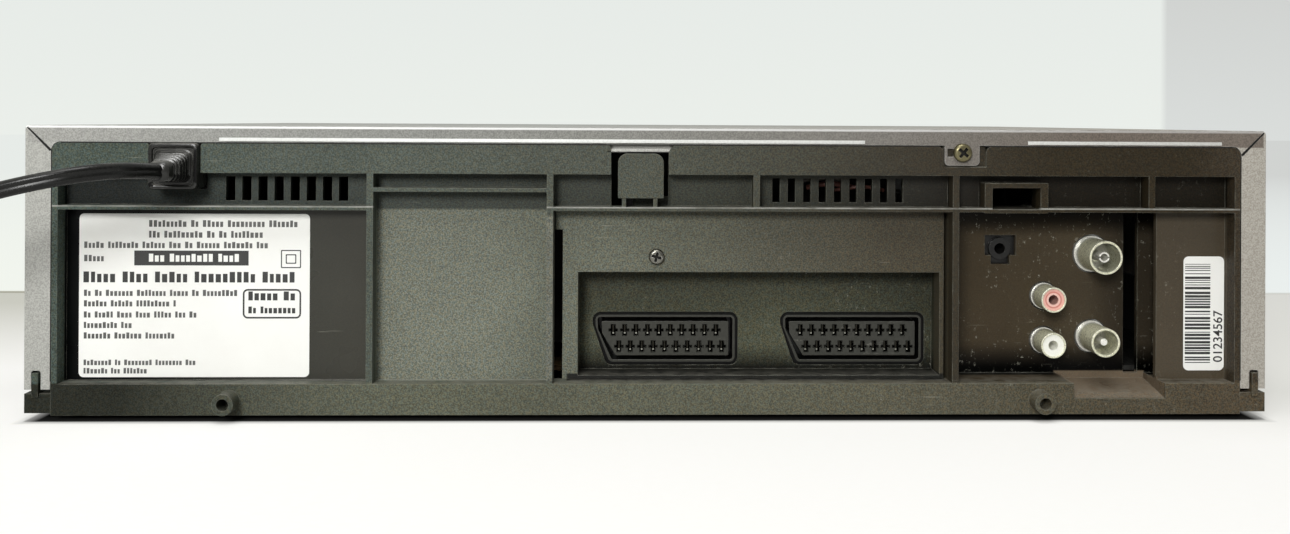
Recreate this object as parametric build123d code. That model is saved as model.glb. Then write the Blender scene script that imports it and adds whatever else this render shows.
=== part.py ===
from build123d import *
import os
from math import atan2, cos, degrees, hypot, pi, radians, sin, tan

# Video cassette recorder, millimetres. The front faces -Y, the connectors face +Y, +Z is up.
# The origin is under the middle of the case, on the surface that it stands on.

# --- case ---
case_width = 400.0
case_height = 94.0
case_depth = 282.5          # front face to the outer plane of the rear panel
button_proud = 1.5
peg_reach = 6.0
foot_height = 1.6
sheet = 0.8                 # steel of the covers
wall = 2.0                  # moulded wall of the tray and rear panel
bezel_wall = 2.6
bezel_depth = 22.0
seam = 0.2                  # between panels that meet edge to edge
free = 0.3                  # between loose neighbours
running = 0.06              # radial clearance of a shaft in its bore

half_width = case_width / 2
front_y = -(case_depth + button_proud + peg_reach) / 2 + button_proud
rear_y = front_y + case_depth
bezel_back = front_y + bezel_depth

# --- rear panel ---
recess_depth = 6.3          # shallow recesses
socket_depth = 16.5         # recesses that hold the connectors
flange_drop = 5.2           # rear flange of the cover, along the top
flange_side = 8.1           # and down each side
top_bar = 9.6
bar_corner_radius = 2.6
bottom_bar = 10.0
stile = 1.9                 # outer wall beside each cover flange
rib = 2.1
thin_rib = 1.3
strip_height = 10.5         # vent strip under the top bar
cover_bottom = 9.9          # lower edge of the cover's sides

panel_half = half_width - flange_side - seam
bar_top = case_height - flange_drop - seam
bar_bottom = bar_top - top_bar
strip_bottom = bar_bottom - strip_height
floor_z = foot_height + bottom_bar
recess_y = rear_y - recess_depth
socket_y = rear_y - socket_depth
deep_back = socket_y - wall
shallow_back = recess_y - wall

label_bay = 97.6            # width of the bay for the rating label
blank_bay = 56.0
socket_bay = 129.5          # width of the bay for the two 21-way sockets
jack_bay = 65.4
bay_left = panel_half - stile
divider_one = bay_left - label_bay - rib / 2
plate_post = 2.2            # wall between the jack bay and the bar-code strip
strip_edge = -(half_width - 33.3)
divider_three = strip_edge + jack_bay + rib / 2 + plate_post
divider_two = divider_three + rib / 2 + socket_bay + rib / 2

vent_height = 7.9
vent_left_count = 8
vent_left_pitch = 5.2
vent_left_slot = 3.0
vent_left_end = divider_one + 8.4
vent_right_count = 9
vent_right_pitch = 5.08
vent_right_slot = 2.45
vent_right_end = divider_three + 16.0

tongue_width = 14.7
tongue_height = 14.4
tongue_x = divider_two - 29.2
notch_width = 18.6
notch_x = divider_two - 28.9
screw_x = divider_three - 1.9
screw_z = case_height - 7.5
peg_radius = 3.4
peg_bore = 1.9
peg_z = 6.3
peg_left_x = half_width - 64.4
peg_right_x = -(half_width - 74.4)
bracket_top = 8.6
hook_top = 15.2
hook_x = half_width - 3.7

# --- socket plate and connectors ---
plate_gap = 2.8             # open slot beside the socket plate
pocket_side = 5.0           # strip between that slot and the pocket
pocket_height = 35.2
scart_pitch = 3.85
scart_row = 5.5
scart_width = 48.7
scart_height = 17.5
scart_slant = 4.8
scart_lip = 1.6
scart_trench = 1.4
scart_depth = 19.0
scart_spacing = 63.2
scart_z = 23.2
scart_first_x = divider_three + 111.3
plate_screw_x = divider_two - 34.5
plate_screw_z = 51.9
phono_x = divider_three - 34.6
phono_upper_z = 37.7
phono_lower_z = 22.6
phono_radius = 4.15
phono_reach = 10.0
aerial_x = divider_three - 51.0
aerial_in_z = 52.0
aerial_out_z = 24.0
aerial_in_radius = 5.5
aerial_out_radius = 4.75
aerial_reach = 12.5
jack_x = divider_three - 19.8
jack_z = 53.6
jack_radius = 3.7
jack_bore = 1.8
jack_length = 12.0

# --- boards ---
board = 1.6
board_z = 12.0
board_top = board_z + board
core_width = 42.0           # transformer
core_length = 40.0
core_height = 34.0
core_x = half_width - 52.0
core_y = deep_back - 48.5
bobbin_width = 24.0
bobbin_reach = 7.0
sink_width = 46.0           # heat sink
sink_height = 42.0
sink_depth = 11.0
sink_x = half_width - 69.0
sink_y = core_y - core_length / 2 - 26.5
big_can = (86.0, 20.5, 9.0, 34.0)   # capacitors: inset from the side and rear, radius, height
small_cans = ((88.0, 46.5, 6.0, 22.0), (88.0, 64.5, 5.0, 18.0), (34.0, 110.5, 6.0, 20.0))

# --- tape deck ---
deck_x = -30.0
deck_half = 113.0
deck_z = 26.0
deck_plate_thick = 1.2
deck_top = deck_z + deck_plate_thick
deck_front = bezel_back + 11.5
deck_rear = rear_y - 45.0
cassette_half = 94.0        # half the width of a tape cassette
cassette_height = 25.0
holder_sheet = 1.2
holder_low = 34.0           # underside of the holder when it is down
holder_high = case_height - 32.6
holder_front = front_y + 32.5
holder_length = 61.0
drum_y = deck_rear - 44.0
drum_radius = 31.0
holder_travel = drum_y - drum_radius - 7.0 - (holder_front + holder_length)
drum_tilt = 5.0
lower_drum = 16.0
upper_drum = 14.0
reel_spacing = 91.2
reel_y = drum_y - 95.0
reel_radius = 26.4
capstan_dx = 54.0
capstan_y = drum_y - 30.0
capstan_radius = 1.5
flywheel_radius = 28.0
pulley_radius = 8.0
clutch_y = reel_y + 17.0
clutch_radius = 22.0
clutch_pulley = 12.0
belt_thick = 1.2
roller_radius = 7.0
arm_dx = 82.0
arm_y = capstan_y + 10.0
arm_length = 20.8
arm_open = 167.6            # degrees, direction of the pinch arm at rest
guide_start = (30.0, drum_y - drum_radius - 13.0)   # from the deck's middle line, and along Y
guide_end = (drum_radius + 10.0, drum_y + 8.0)
cam_dx = -84.0
cam_y = deck_rear - 28.0
cam_radius = 20.0
tension_dx = -80.0
tension_y = drum_y - 32.0
tension_reach = (20.0, 9.0)
deck_shaft = 2.0            # radius of the posts that carry reels and gears

# --- front ---
door_half = 98.2
door_height = 27.1
door_thick = 2.4
door_gap = 0.4
door_top = case_height - 5.9
door_inset = 0.6
pin_radius = 1.0
window_width = 96.0
window_height = 22.0
window_x = half_width - 14.0 - window_width / 2
window_z = case_height - 25.0
key_width = 15.0
key_height = 8.0
key_pitch = 18.0
key_travel = 0.8
key_z = 38.0
key_end_x = half_width - 20.0
key_count = 5
big_key_width = 26.0
big_key_x = -(half_width - 35.0)
power_z = case_height - 20.0
eject_z = case_height - 38.0
record_z = key_z - 14.0

# --- mains lead ---
lead_diameter = 5.0
relief_width = 15.8
relief_height = 14.9
relief_x = half_width - 47.0
relief_z = bar_top - relief_height / 2
lead_points = [
    (152.5, 14.5, 79.9),
    (155.8, 26.2, 81.0),
    (164.0, 35.2, 80.6),
    (176.5, 40.0, 78.2),
    (191.0, 41.6, 74.6),
    (206.0, 42.4, 68.8),
    (220.5, 43.4, 60.0),
    (235.0, 45.4, 47.2),
    (249.0, 47.2, 32.0),
    (263.0, 48.6, 17.4),
    (278.5, 48.2, 7.0),
    (296.0, 44.0, 2.6),
    (313.0, 33.0, 2.6),
    (324.5, 16.0, 2.6),
    (328.0, -4.0, 2.6),
]                           # X, distance beyond the rear plane, Z
coil_x = 293.0
coil_y = rear_y - 4.0
coil_middle = 30.0
coil_layers = 2
coil_columns = 3
plug_width = 49.0
plug_length = 46.0
plug_height = 22.0


def block(x, y, z):
    """A box from three pairs of limits."""
    size = (abs(x[1] - x[0]), abs(y[1] - y[0]), abs(z[1] - z[0]))
    return Pos((x[0] + x[1]) / 2, (y[0] + y[1]) / 2, (z[0] + z[1]) / 2) * Box(*size)


def rod(x, y, z, radius, length):
    """An upright cylinder that stands on z."""
    return Pos(x, y, z + length / 2) * Cylinder(radius, length)


def rod_y(x, z, radius, y):
    """A cylinder along Y between two limits."""
    middle = Pos(x, (y[0] + y[1]) / 2, z)
    return middle * Rot(90, 0, 0) * Cylinder(radius, abs(y[1] - y[0]))


def rod_x(y, z, radius, x):
    """A cylinder along X between two limits."""
    return Pos((x[0] + x[1]) / 2, y, z) * Rot(0, 90, 0) * Cylinder(radius, abs(x[1] - x[0]))


def slab(sketch, y):
    """An outline drawn in X and Z, as thick as the two limits along Y."""
    plane = Plane((0, y[0], 0), x_dir=(1, 0, 0), z_dir=(0, -1, 0))
    return extrude(plane * sketch, amount=y[1] - y[0], dir=(0, 1, 0))


def at(x, z, sketch):
    return Pos(x, z) * sketch


def save(name, *solids):
    """One node: a single solid, or a group of separate ones."""
    shapes = []
    for part in solids:
        shapes += list(part.solids())
    whole = Compound(children=shapes) if len(shapes) > 1 else shapes[0]
    whole.label = name
    export_step(whole, f"parts/{name}.step")


# ---------------------------------------------------------------- case

def top_cover():
    """Folded steel: a top, two sides and a rear flange with mitred corners."""
    y = (bezel_back + seam, rear_y)
    bend = 1.2

    def outline(half, top, radius):
        shape = at(0, (top + cover_bottom) / 2, Rectangle(2 * half, top - cover_bottom))
        return fillet(shape.vertices().group_by(Axis.Y)[-1], radius)

    lower = at(0, cover_bottom, Rectangle(2 * half_width, 2 * sheet))
    inside = outline(half_width - sheet, case_height - sheet, bend - sheet)
    shell = slab(outline(half_width, case_height, bend) - inside - (lower & inside), y)
    flange_y = (rear_y - sheet, rear_y)
    inner = half_width - flange_side
    mitre = case_height - flange_side
    cut = 0.25
    side = Polygon(
        (half_width, cover_bottom), (half_width, case_height - cut), (inner, mitre - cut),
        (inner, cover_bottom), align=None)
    top = Polygon(
        (half_width - cut, case_height), (inner, mitre + cut),
        (inner, case_height - flange_drop), (-inner, case_height - flange_drop),
        (-inner, mitre + cut), (-half_width + cut, case_height), align=None)
    reach = bar_corner_radius + seam
    web_corner = at(inner - reach / 2, case_height - flange_drop - reach / 2, Rectangle(reach, reach))
    web_corner -= at(inner - reach, case_height - flange_drop - reach, Circle(reach))
    tab_bottom = screw_z - 4.2
    tab = at(screw_x, (case_height + tab_bottom) / 2, Rectangle(11.4, case_height - tab_bottom))
    tab = fillet(tab.vertices().group_by(Axis.Y)[0], 1.5)
    slot = at(screw_x + 3.8, screw_z, Rectangle(2.0, 2.6))
    flange = slab(top + side + mirror(side, Plane.YZ) + tab, flange_y)
    flange += slab(web_corner + mirror(web_corner, Plane.YZ), flange_y)
    flange -= slab(slot + at(screw_x, screw_z, Circle(1.6)), flange_y)
    hook_slot = at(hook_x, cover_bottom, RectangleRounded(3.0, 12.0, 0.8))
    flange -= slab(hook_slot + mirror(hook_slot, Plane.YZ), flange_y)
    outer = slab(outline(half_width, case_height, bend), y)
    lip_top = case_height - flange_drop + 1.6
    lip = block((tongue_x - 66, divider_one + 50), (rear_y - 3.3, rear_y - 2.5), (lip_top - 4.4, lip_top))
    web = block((tongue_x - 66, divider_one + 50), (rear_y - 3.3, rear_y - sheet), (lip_top - sheet, lip_top))
    lip -= block((relief_x - 14, relief_x + 14), (rear_y - 5, rear_y - 1), (0, case_height))
    web -= block((relief_x - 14, relief_x + 14), (rear_y - 5, rear_y - 1), (0, case_height))
    return shell + (flange & outer) + lip + web


def bottom_cover():
    """Flat steel plate under the tray, with two rows of cooling slots."""
    plate = block(
        (-half_width + 10, half_width - 10), (bezel_back + 4, deep_back - free),
        (foot_height, foot_height + sheet))
    slots = Sketch()
    for side in (-1, 1):
        for n in range(8):
            slots += Pos(side * (half_width - 70) + (n - 3.5) * 9, 40) * SlotOverall(40, 3, rotation=90)
    return plate - extrude(slots, amount=3 * foot_height)


def feet():
    """Four round pads under the bottom plate."""
    pads = []
    for x in (-half_width + 34, half_width - 34):
        for y in (bezel_back + 26, rear_y - 40):
            pad = Pos(x, y, foot_height / 2) * Cylinder(9, foot_height)
            pads.append(chamfer(pad.faces().sort_by(Axis.Z)[0].edges(), 0.5))
    return pads


def chassis_tray():
    """Moulded tray: floor, low side walls with a skirt, and the posts for board and deck."""
    floor = foot_height + sheet
    y = (bezel_back + seam, shallow_back - seam)
    outer = half_width - sheet - seam
    body = block((-outer, outer), y, (floor, floor + wall))
    for side in (-1, 1):
        body += block((side * (outer - wall), side * outer), y, (floor, floor + 32))
        body += block((side * outer, side * half_width), y, (floor, cover_bottom - seam))
    for x in (-half_width + 60, half_width - 60):
        body += block((x - 1, x + 1), y, (floor, floor + wall + 3))
    for x in board_posts_x():
        for post_y in board_posts_y():
            body += rod(x, post_y, floor, 3.5, board_z - floor)
            body += rod(x, post_y, floor, 1.4, board_top + 1 - floor)
    for x, post_y in deck_posts():
        body += rod(x, post_y, floor, 4.0, deck_z - floor)
        body += rod(x, post_y, floor, 1.4, deck_top + 1.2 - floor)
    sill = ramp_limits()
    return body - block(
        (sill[0] - 2 - free, sill[1] + 2 + free), (deep_back - free, rear_y), (0, cover_bottom - seam + 1))


def board_posts_x():
    return (-half_width + 18, half_width - 18)


def board_posts_y():
    return (board_front() + 12, deep_back - 24.5)


def board_front():
    return reel_y - 15.0


def deck_posts():
    spots = []
    for x in (deck_x - deck_half + 6, deck_x + deck_half - 6):
        for y in (deck_front + 7, deck_rear - 22):
            spots.append((x, y))
    return spots


def ramp_limits():
    return (aerial_x - 18.0, aerial_x + 12.0)


# ---------------------------------------------------------------- rear panel

def relief_notch(sketch_gap):
    height = relief_height + 2 * sketch_gap
    return at(relief_x, relief_z + 2, Rectangle(relief_width + 2 * sketch_gap, height + 4))


def vents(first, count, pitch, width, step):
    row = Sketch()
    z = strip_bottom + strip_height / 2
    for n in range(count):
        row += at(first + step * (n * pitch + width / 2), z, Rectangle(width, vent_height))
    return row


def rear_panel():
    """Moulded rear wall: shallow bays between ribs, a deep bay for the jacks, two bars."""
    skin = (rear_y - wall, rear_y)
    full = (shallow_back, rear_y)
    shallow = (shallow_back, recess_y)
    behind = half_width - sheet - free
    tucked = case_height - sheet - free

    back = at(0, (foot_height + tucked) / 2, Rectangle(2 * behind, tucked - foot_height))
    back -= at(
        (divider_two + divider_three) / 2, (floor_z + strip_bottom - thin_rib) / 2,
        Rectangle(socket_bay, strip_bottom - thin_rib - floor_z))
    back -= at(
        (strip_edge + divider_three - rib / 2) / 2, (floor_z + strip_bottom - thin_rib) / 2,
        Rectangle(jack_bay + plate_post, strip_bottom - thin_rib - floor_z))
    back -= vents(vent_left_end, vent_left_count, vent_left_pitch, vent_left_slot, 1)
    back -= vents(vent_right_end, vent_right_count, vent_right_pitch, vent_right_slot, 1)
    back -= at(notch_x, (strip_bottom + bar_top) / 2, Rectangle(notch_width, bar_top - strip_bottom))
    body = slab(back, shallow)

    for side in (-1, 1):
        body += block((side * bay_left, side * panel_half), full, (foot_height, bar_top))
    bar = at(0, (bar_bottom + bar_top) / 2, RectangleRounded(2 * panel_half, top_bar, 1.6))
    bar += at(0, bar_bottom + top_bar / 4, Rectangle(2 * panel_half, top_bar / 2))
    body += slab(bar, skin)
    body += block((-panel_half, panel_half), full, (bar_bottom, bar_bottom + 1.6))
    body += block((-panel_half, panel_half), skin, (foot_height, floor_z))
    body += block((-panel_half, panel_half), full, (foot_height, foot_height + wall))
    body += block((-panel_half, panel_half), full, (floor_z - wall, floor_z))

    for x in (divider_one, divider_two, divider_three):
        body += block((x - rib / 2, x + rib / 2), full, (floor_z - wall, bar_bottom + 1))
    for x in (divider_two - socket_bay / 2 - 1.9, strip_edge + 4.3):
        body += block((x - rib / 2, x + rib / 2), full, (strip_bottom - thin_rib, bar_bottom + 1))
    blank_rib = bar_bottom - 4.5
    body += block((divider_one, divider_two), full, (blank_rib - thin_rib, blank_rib))
    body += block((divider_one, bay_left), full, (strip_bottom - thin_rib, strip_bottom))
    body += block((divider_two, -bay_left), full, (strip_bottom - thin_rib, strip_bottom))

    body += deep_jack_bay()
    body -= slab(strip_window(), (deep_back - 1, rear_y + 1))
    for x, side, radius in bar_ends():
        body -= bar_corner(x, side, radius)
    body -= notch()
    body += tongue()
    body = body - slab(relief_notch(seam), (shallow_back - 1, rear_y + 1))
    body -= block(
        (screw_x - 7.9, screw_x + 6.1), (rear_y - sheet - 0.1, rear_y + 1), (screw_z - 4.6, bar_top + 2))
    body += block((screw_x - 6, screw_x + 6), (shallow_back, rear_y - sheet - 0.1), (bar_bottom, bar_top + 2))
    body -= rod_y(screw_x, screw_z, 1.5, (shallow_back - 1, rear_y))
    body += ramp_block()
    body += pegs()
    for side in (-1, 1):
        body += bracket(side)
    lug_low = pocket_top() + wall + free
    body += block(
        (plate_screw_x - 8, plate_screw_x + 8), (shallow_back - 2.2, shallow_back),
        (lug_low, strip_bottom + 3))
    body -= rod_y(plate_screw_x, plate_screw_z, 1.5, (shallow_back - 4, shallow_back + 1))
    return body


def deep_jack_bay():
    """The pocket behind which the jack block and tuner sit, and the wall beside the strip."""
    right = strip_edge - plate_post - 2
    left = divider_three - rib / 2
    top = strip_bottom - thin_rib
    deep = (deep_back, socket_y)
    sides = (deep_back, rear_y)
    plate_end = aerial_x - 11.0
    pocket = block((right, left + rib), sides, (top, top + thin_rib))
    pocket += block((right, left + rib), sides, (floor_z - wall, floor_z))
    pocket += block((left, left + rib), sides, (floor_z - wall, top))
    pocket += block((plate_end, left), deep, (floor_z - wall, top + thin_rib))
    pocket += block((right, plate_end - 4.8), deep, (floor_z - wall, top + thin_rib))
    pocket += block((strip_edge - plate_post, strip_edge), (shallow_back, recess_y), (floor_z, top))
    holes = at(aerial_x, aerial_in_z, Circle(aerial_in_radius + 1.0))
    holes += at(aerial_x, aerial_out_z, Circle(aerial_out_radius + 1.0))
    for z in (phono_upper_z, phono_lower_z):
        holes += at(phono_x, z, Circle(phono_radius + 0.7))
    holes += at(jack_x, jack_z + 1.2, Rectangle(10.6, 6.8))
    holes += at(jack_x, jack_z - 3.4, Rectangle(6.4, 3.6))
    frame_outline = at(jack_x, strip_bottom + 3.3, Rectangle(20.8, 9.8))
    pocket -= slab(holes, (deep_back - 1, socket_y + 1))
    pocket += slab(frame_outline, (shallow_back, rear_y))
    return pocket


def strip_window():
    """Open window in the vent strip over the control jack."""
    return at(jack_x, strip_bottom + 3.1, Rectangle(15.8, 7.0))


def bar_ends():
    """Where the top bar stops: X, the side that the bar runs to, corner radius."""
    relief = relief_width / 2 + seam
    return [
        (panel_half, -1, bar_corner_radius), (-panel_half, 1, bar_corner_radius),
        (relief_x + relief, 1, 1.2), (relief_x - relief, -1, 1.2),
        (notch_x + notch_width / 2, 1, 1.6), (notch_x - notch_width / 2, -1, 2.8),
        (screw_x + 6.1, 1, 2.0), (screw_x - 7.9, -1, 2.0)]


def bar_corner(x, side, radius):
    """The sliver that a rounded top corner leaves off the bar."""
    y = (rear_y - wall - 0.1, rear_y + 1)
    across = (min(x, x + side * radius), max(x, x + side * radius))
    centre = rod_y(x + side * radius, bar_top - radius, radius, (rear_y - wall - 1, rear_y + 2))
    return block(across, y, (bar_top - radius, bar_top + 0.5)) - centre


def notch():
    """Opening through both bars round the tongue, stepped up beside its left post."""
    y = (shallow_back - 1, rear_y + 1)
    low = notch_x - notch_width / 2
    step = bar_top - 16.8
    opening = block((low, notch_x + notch_width / 2), y, (step, bar_top + 0.5))
    return opening + block(
        (low, tongue_x + tongue_width / 2 - 1.3), y, (strip_bottom + 0.01, step + 0.1))


def tongue():
    """Sprung latch that holds the cover's lip, on two posts over an open window."""
    bottom = bar_top - 2.8 - tongue_height
    blade = at(tongue_x, bottom + tongue_height / 2, Rectangle(tongue_width, tongue_height))
    blade = fillet(blade.vertices().group_by(Axis.Y)[-1], 3.0)
    latch = slab(blade, (rear_y - 1.8, rear_y + 0.2))
    for x in (tongue_x + tongue_width / 2 - 2.6, tongue_x - tongue_width / 2 + 2.0):
        latch += block((x, x + 1.3), (rear_y - 5.5, rear_y), (strip_bottom - thin_rib / 2, bottom + 1))
    frame = block(
        (tongue_x - notch_width, tongue_x + notch_width), (shallow_back, rear_y),
        (strip_bottom - thin_rib, strip_bottom))
    return latch + frame


def ramp_block():
    """Sloping sill under the aerial sockets, solid so that a plug's lead lies in it."""
    right, left = ramp_limits()
    return block((right - 2, left + 2), (deep_back, rear_y), (foot_height, floor_z))


def ramp_cut():
    right, left = ramp_limits()
    side = Plane((right, 0, 0), x_dir=(0, 1, 0), z_dir=(1, 0, 0))
    wedge = Polygon(
        (socket_y, floor_z - 1.8), (rear_y + 1, floor_z - 5.1), (rear_y + 1, floor_z + 1),
        (socket_y, floor_z + 1), align=None)
    return extrude(side * wedge, amount=left - right)


def pegs():
    both = None
    for x in (peg_left_x, peg_right_x):
        peg = rod_y(x, peg_z, peg_radius, (rear_y - wall, rear_y + peg_reach))
        both = peg if both is None else both + peg
    return both


def peg_bores():
    both = None
    for x in (peg_left_x, peg_right_x):
        bore = rod_y(x, peg_z, peg_bore, (rear_y - wall + 1, rear_y + peg_reach + 1))
        both = bore if both is None else both + bore
    return both


def bracket(side):
    """Corner lug with the hook that stands in a slot of the cover's side flange."""
    lug = block(
        (side * (panel_half - 1), side * half_width), (shallow_back, rear_y - 0.1),
        (foot_height + sheet, bracket_top))
    hook = block(
        (side * (hook_x - 1.0), side * (hook_x + 1.0)), (rear_y - 3.2, rear_y + 0.8),
        (bracket_top - 1, hook_top))
    root = block(
        (side * (hook_x - 1.0), side * (hook_x + 1.0)), (shallow_back, rear_y + 0.8),
        (bracket_top - 1, cover_bottom - free))
    return lug + hook + root


def pocket_top():
    return floor_z + pocket_height


def scart_outline(inset, first_x):
    """The 21-way outline seen in X and Z, slanted at the side of the first contact."""
    half = scart_height / 2 - inset
    right = first_x - 41.8 + inset
    left = right + scart_width - 2 * inset
    shape = Polygon(
        (left, scart_z + half), (right, scart_z + half), (right, scart_z - half),
        (left - scart_slant, scart_z - half), (left - 0.2, scart_z + half - 4), align=None)
    return fillet(shape.vertices(), max(2.6 - inset, 0.35))


def scart_firsts():
    return (scart_first_x, scart_first_x - scart_spacing)


def socket_plate():
    """Plate with the deep pocket round both 21-way sockets, held by one screw."""
    outer_left = divider_two - rib / 2
    plate_left = outer_left - plate_gap
    right = divider_three + rib / 2 + 1.2
    top = strip_bottom - thin_rib - seam
    low = floor_z + seam
    pocket_left = plate_left - pocket_side
    ceiling = pocket_top()
    shallow = (shallow_back, recess_y)
    plate = block((right, plate_left), shallow, (low, top))
    plate += block((plate_left - 1, outer_left - 0.4), shallow, (top - 6.3, top))
    walls = block((right, pocket_left + wall), (deep_back, recess_y), (low, ceiling + wall))
    plate += walls
    plate -= block((right + 1.4, pocket_left), (socket_y, rear_y), (low - 1, ceiling))
    plate += block((right, pocket_left + wall), (deep_back, recess_y - 0.01), (low, low + 1.2))
    for first in scart_firsts():
        plate -= slab(scart_outline(-0.15, first), (deep_back - 1, socket_y + 1))
    return plate - rod_y(plate_screw_x, plate_screw_z, 1.7, (shallow_back - 1, recess_y + 1))


def scart_spots(first):
    """Centres of the contact slots: ten above, eleven below, half a pitch apart."""
    upper = scart_z + scart_row / 2
    lower = scart_z - scart_row / 2
    spots = [(first - n * scart_pitch, upper) for n in range(10)]
    return spots + [(first - (n + 0.5) * scart_pitch, lower) for n in range(10)]


def scart_socket(first):
    face = socket_y - 0.1
    body = slab(scart_outline(0.05, first), (face - scart_depth, face))
    trench = scart_outline(scart_lip, first) - scart_outline(scart_lip + scart_trench, first)
    body -= slab(trench, (face - 9, face + 1))
    slots = Sketch()
    for x, z in scart_spots(first):
        slots += at(x, z, Rectangle(1.3, 3.6))
        slots += at(x, z, Rectangle(2.7, 0.6))
    body -= slab(slots, (face - 9, face + 1))
    foot_x = first - 17.4
    foot = block(
        (foot_x - 22, foot_x + 18), (face - scart_depth, face - 6), (board_top, scart_z))
    bottom = scart_z - scart_height / 2 + scart_lip
    return body + (foot - block((-half_width, half_width), (0, rear_y), (bottom, case_height)))


def scart_contacts():
    """Spring blades inside the contact slots of both sockets."""
    face = socket_y - 0.1
    blades = []
    for first in scart_firsts():
        for x, z in scart_spots(first):
            blades.append(block((x - 0.25, x + 0.25), (face - 8.9, face - 1.6), (z - 1.5, z + 1.5)))
    return blades


def jack_block():
    """Black block with the phono bodies and the small control jack, standing on the board."""
    face = deep_back - seam
    tower = block((phono_x - 5.2, phono_x + 6.2), (face - 20, face), (board_top, phono_upper_z + 7))
    riser = block((phono_x, jack_x + 5.2), (face - 14, face), (board_top, jack_z + 5.5))
    body = tower + riser
    body += rod_y(jack_x, jack_z, jack_radius, (face - 1, face + 1.6))
    body -= rod_y(jack_x, jack_z, jack_bore, (face + 1.6 - jack_length, face + 2))
    for z in (phono_upper_z, phono_lower_z):
        body -= rod_y(phono_x, z, phono_radius - 0.18, (face - 4, face + 1))
    return body


def phono_shells():
    face = deep_back - seam
    tip = socket_y + phono_reach
    shells = []
    for z in (phono_upper_z, phono_lower_z):
        tube = rod_y(phono_x, z, phono_radius, (face, tip))
        tube += rod_y(phono_x, z, phono_radius + 0.3, (face, socket_y + 0.6))
        tube += rod_y(phono_x, z, phono_radius - 0.2, (face - 3.8, tip - 1))
        shells.append(tube - rod_y(phono_x, z, phono_radius - 0.5, (face - 2.8, tip + 1)))
    return shells


def phono_insert(z):
    """Coloured insulator inside a shell, with the centre hole."""
    face = deep_back - seam
    tip = socket_y + phono_reach - 0.4
    insert = rod_y(phono_x, z, phono_radius - 0.54, (face - 2.76, tip))
    return insert - rod_y(phono_x, z, 1.6, (tip - 8, tip + 1))


def tuner_module():
    """Screened can on the board behind the aerial sockets."""
    face = deep_back - seam
    can = block((aerial_x - 11, aerial_x + 8.5), (face - 38, face), (board_top, aerial_in_z + 8.5))
    inner = block(
        (aerial_x - 10.4, aerial_x + 7.9), (face - 37.4, face - 0.6), (board_top - 1, aerial_in_z + 7.9))
    for z, radius in ((aerial_in_z, aerial_in_radius), (aerial_out_z, aerial_out_radius)):
        can -= rod_y(aerial_x, z, radius - 0.6, (face - 2, face + 1))
    return can - inner


def aerial_socket(z, radius, centre):
    """Metal shell with its collar against the can, and the centre contact."""
    face = deep_back - seam
    tip = socket_y + aerial_reach
    shell = rod_y(aerial_x, z, radius, (face, tip)) + rod_y(aerial_x, z, radius + 0.6, (face, socket_y + 0.4))
    shell += rod_y(aerial_x, z, radius - 0.62, (face - 0.58, face + 0.5))
    shell -= rod_y(aerial_x, z, radius - 0.7, (face + 2, tip + 1))
    pin = rod_y(aerial_x, z, centre, (face + 1, tip - 1.5))
    if centre > 1.3:
        pin -= rod_y(aerial_x, z, centre - 0.55, (face + 4, tip))
        pin -= block((aerial_x - centre, aerial_x + centre), (tip - 6, tip), (z - 0.2, z + 0.2))
    return shell + pin


def screw(x, z, head_radius, head_y, shank):
    """Pan-head screw with a cross recess; its head sits outside head_y."""
    head = rod_y(x, z, head_radius, (head_y, head_y + 1.7))
    head = fillet(head.faces().sort_by(Axis.Y)[-1].edges(), 1.0)
    cross = block((x - 1.5, x + 1.5), (head_y + 0.7, head_y + 2), (z - 0.3, z + 0.3))
    cross += block((x - 0.3, x + 0.3), (head_y + 0.7, head_y + 2), (z - 1.5, z + 1.5))
    return head - cross + rod_y(x, z, 1.42, (head_y - shank, head_y + 0.5))


# ---------------------------------------------------------------- front

def key_spots():
    """Name, centre and width of each button on the front."""
    spots = [("power_button", big_key_x, power_z, big_key_width)]
    spots.append(("eject_button", big_key_x, eject_z, big_key_width))
    names = ("rewind_button", "play_button", "forward_button", "stop_button")
    for n, name in enumerate(names):
        spots.append((name, key_end_x - (key_count - 1 - n) * key_pitch, key_z, key_width))
    spots.append(("record_button", key_end_x, key_z, key_width))
    return spots


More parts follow.
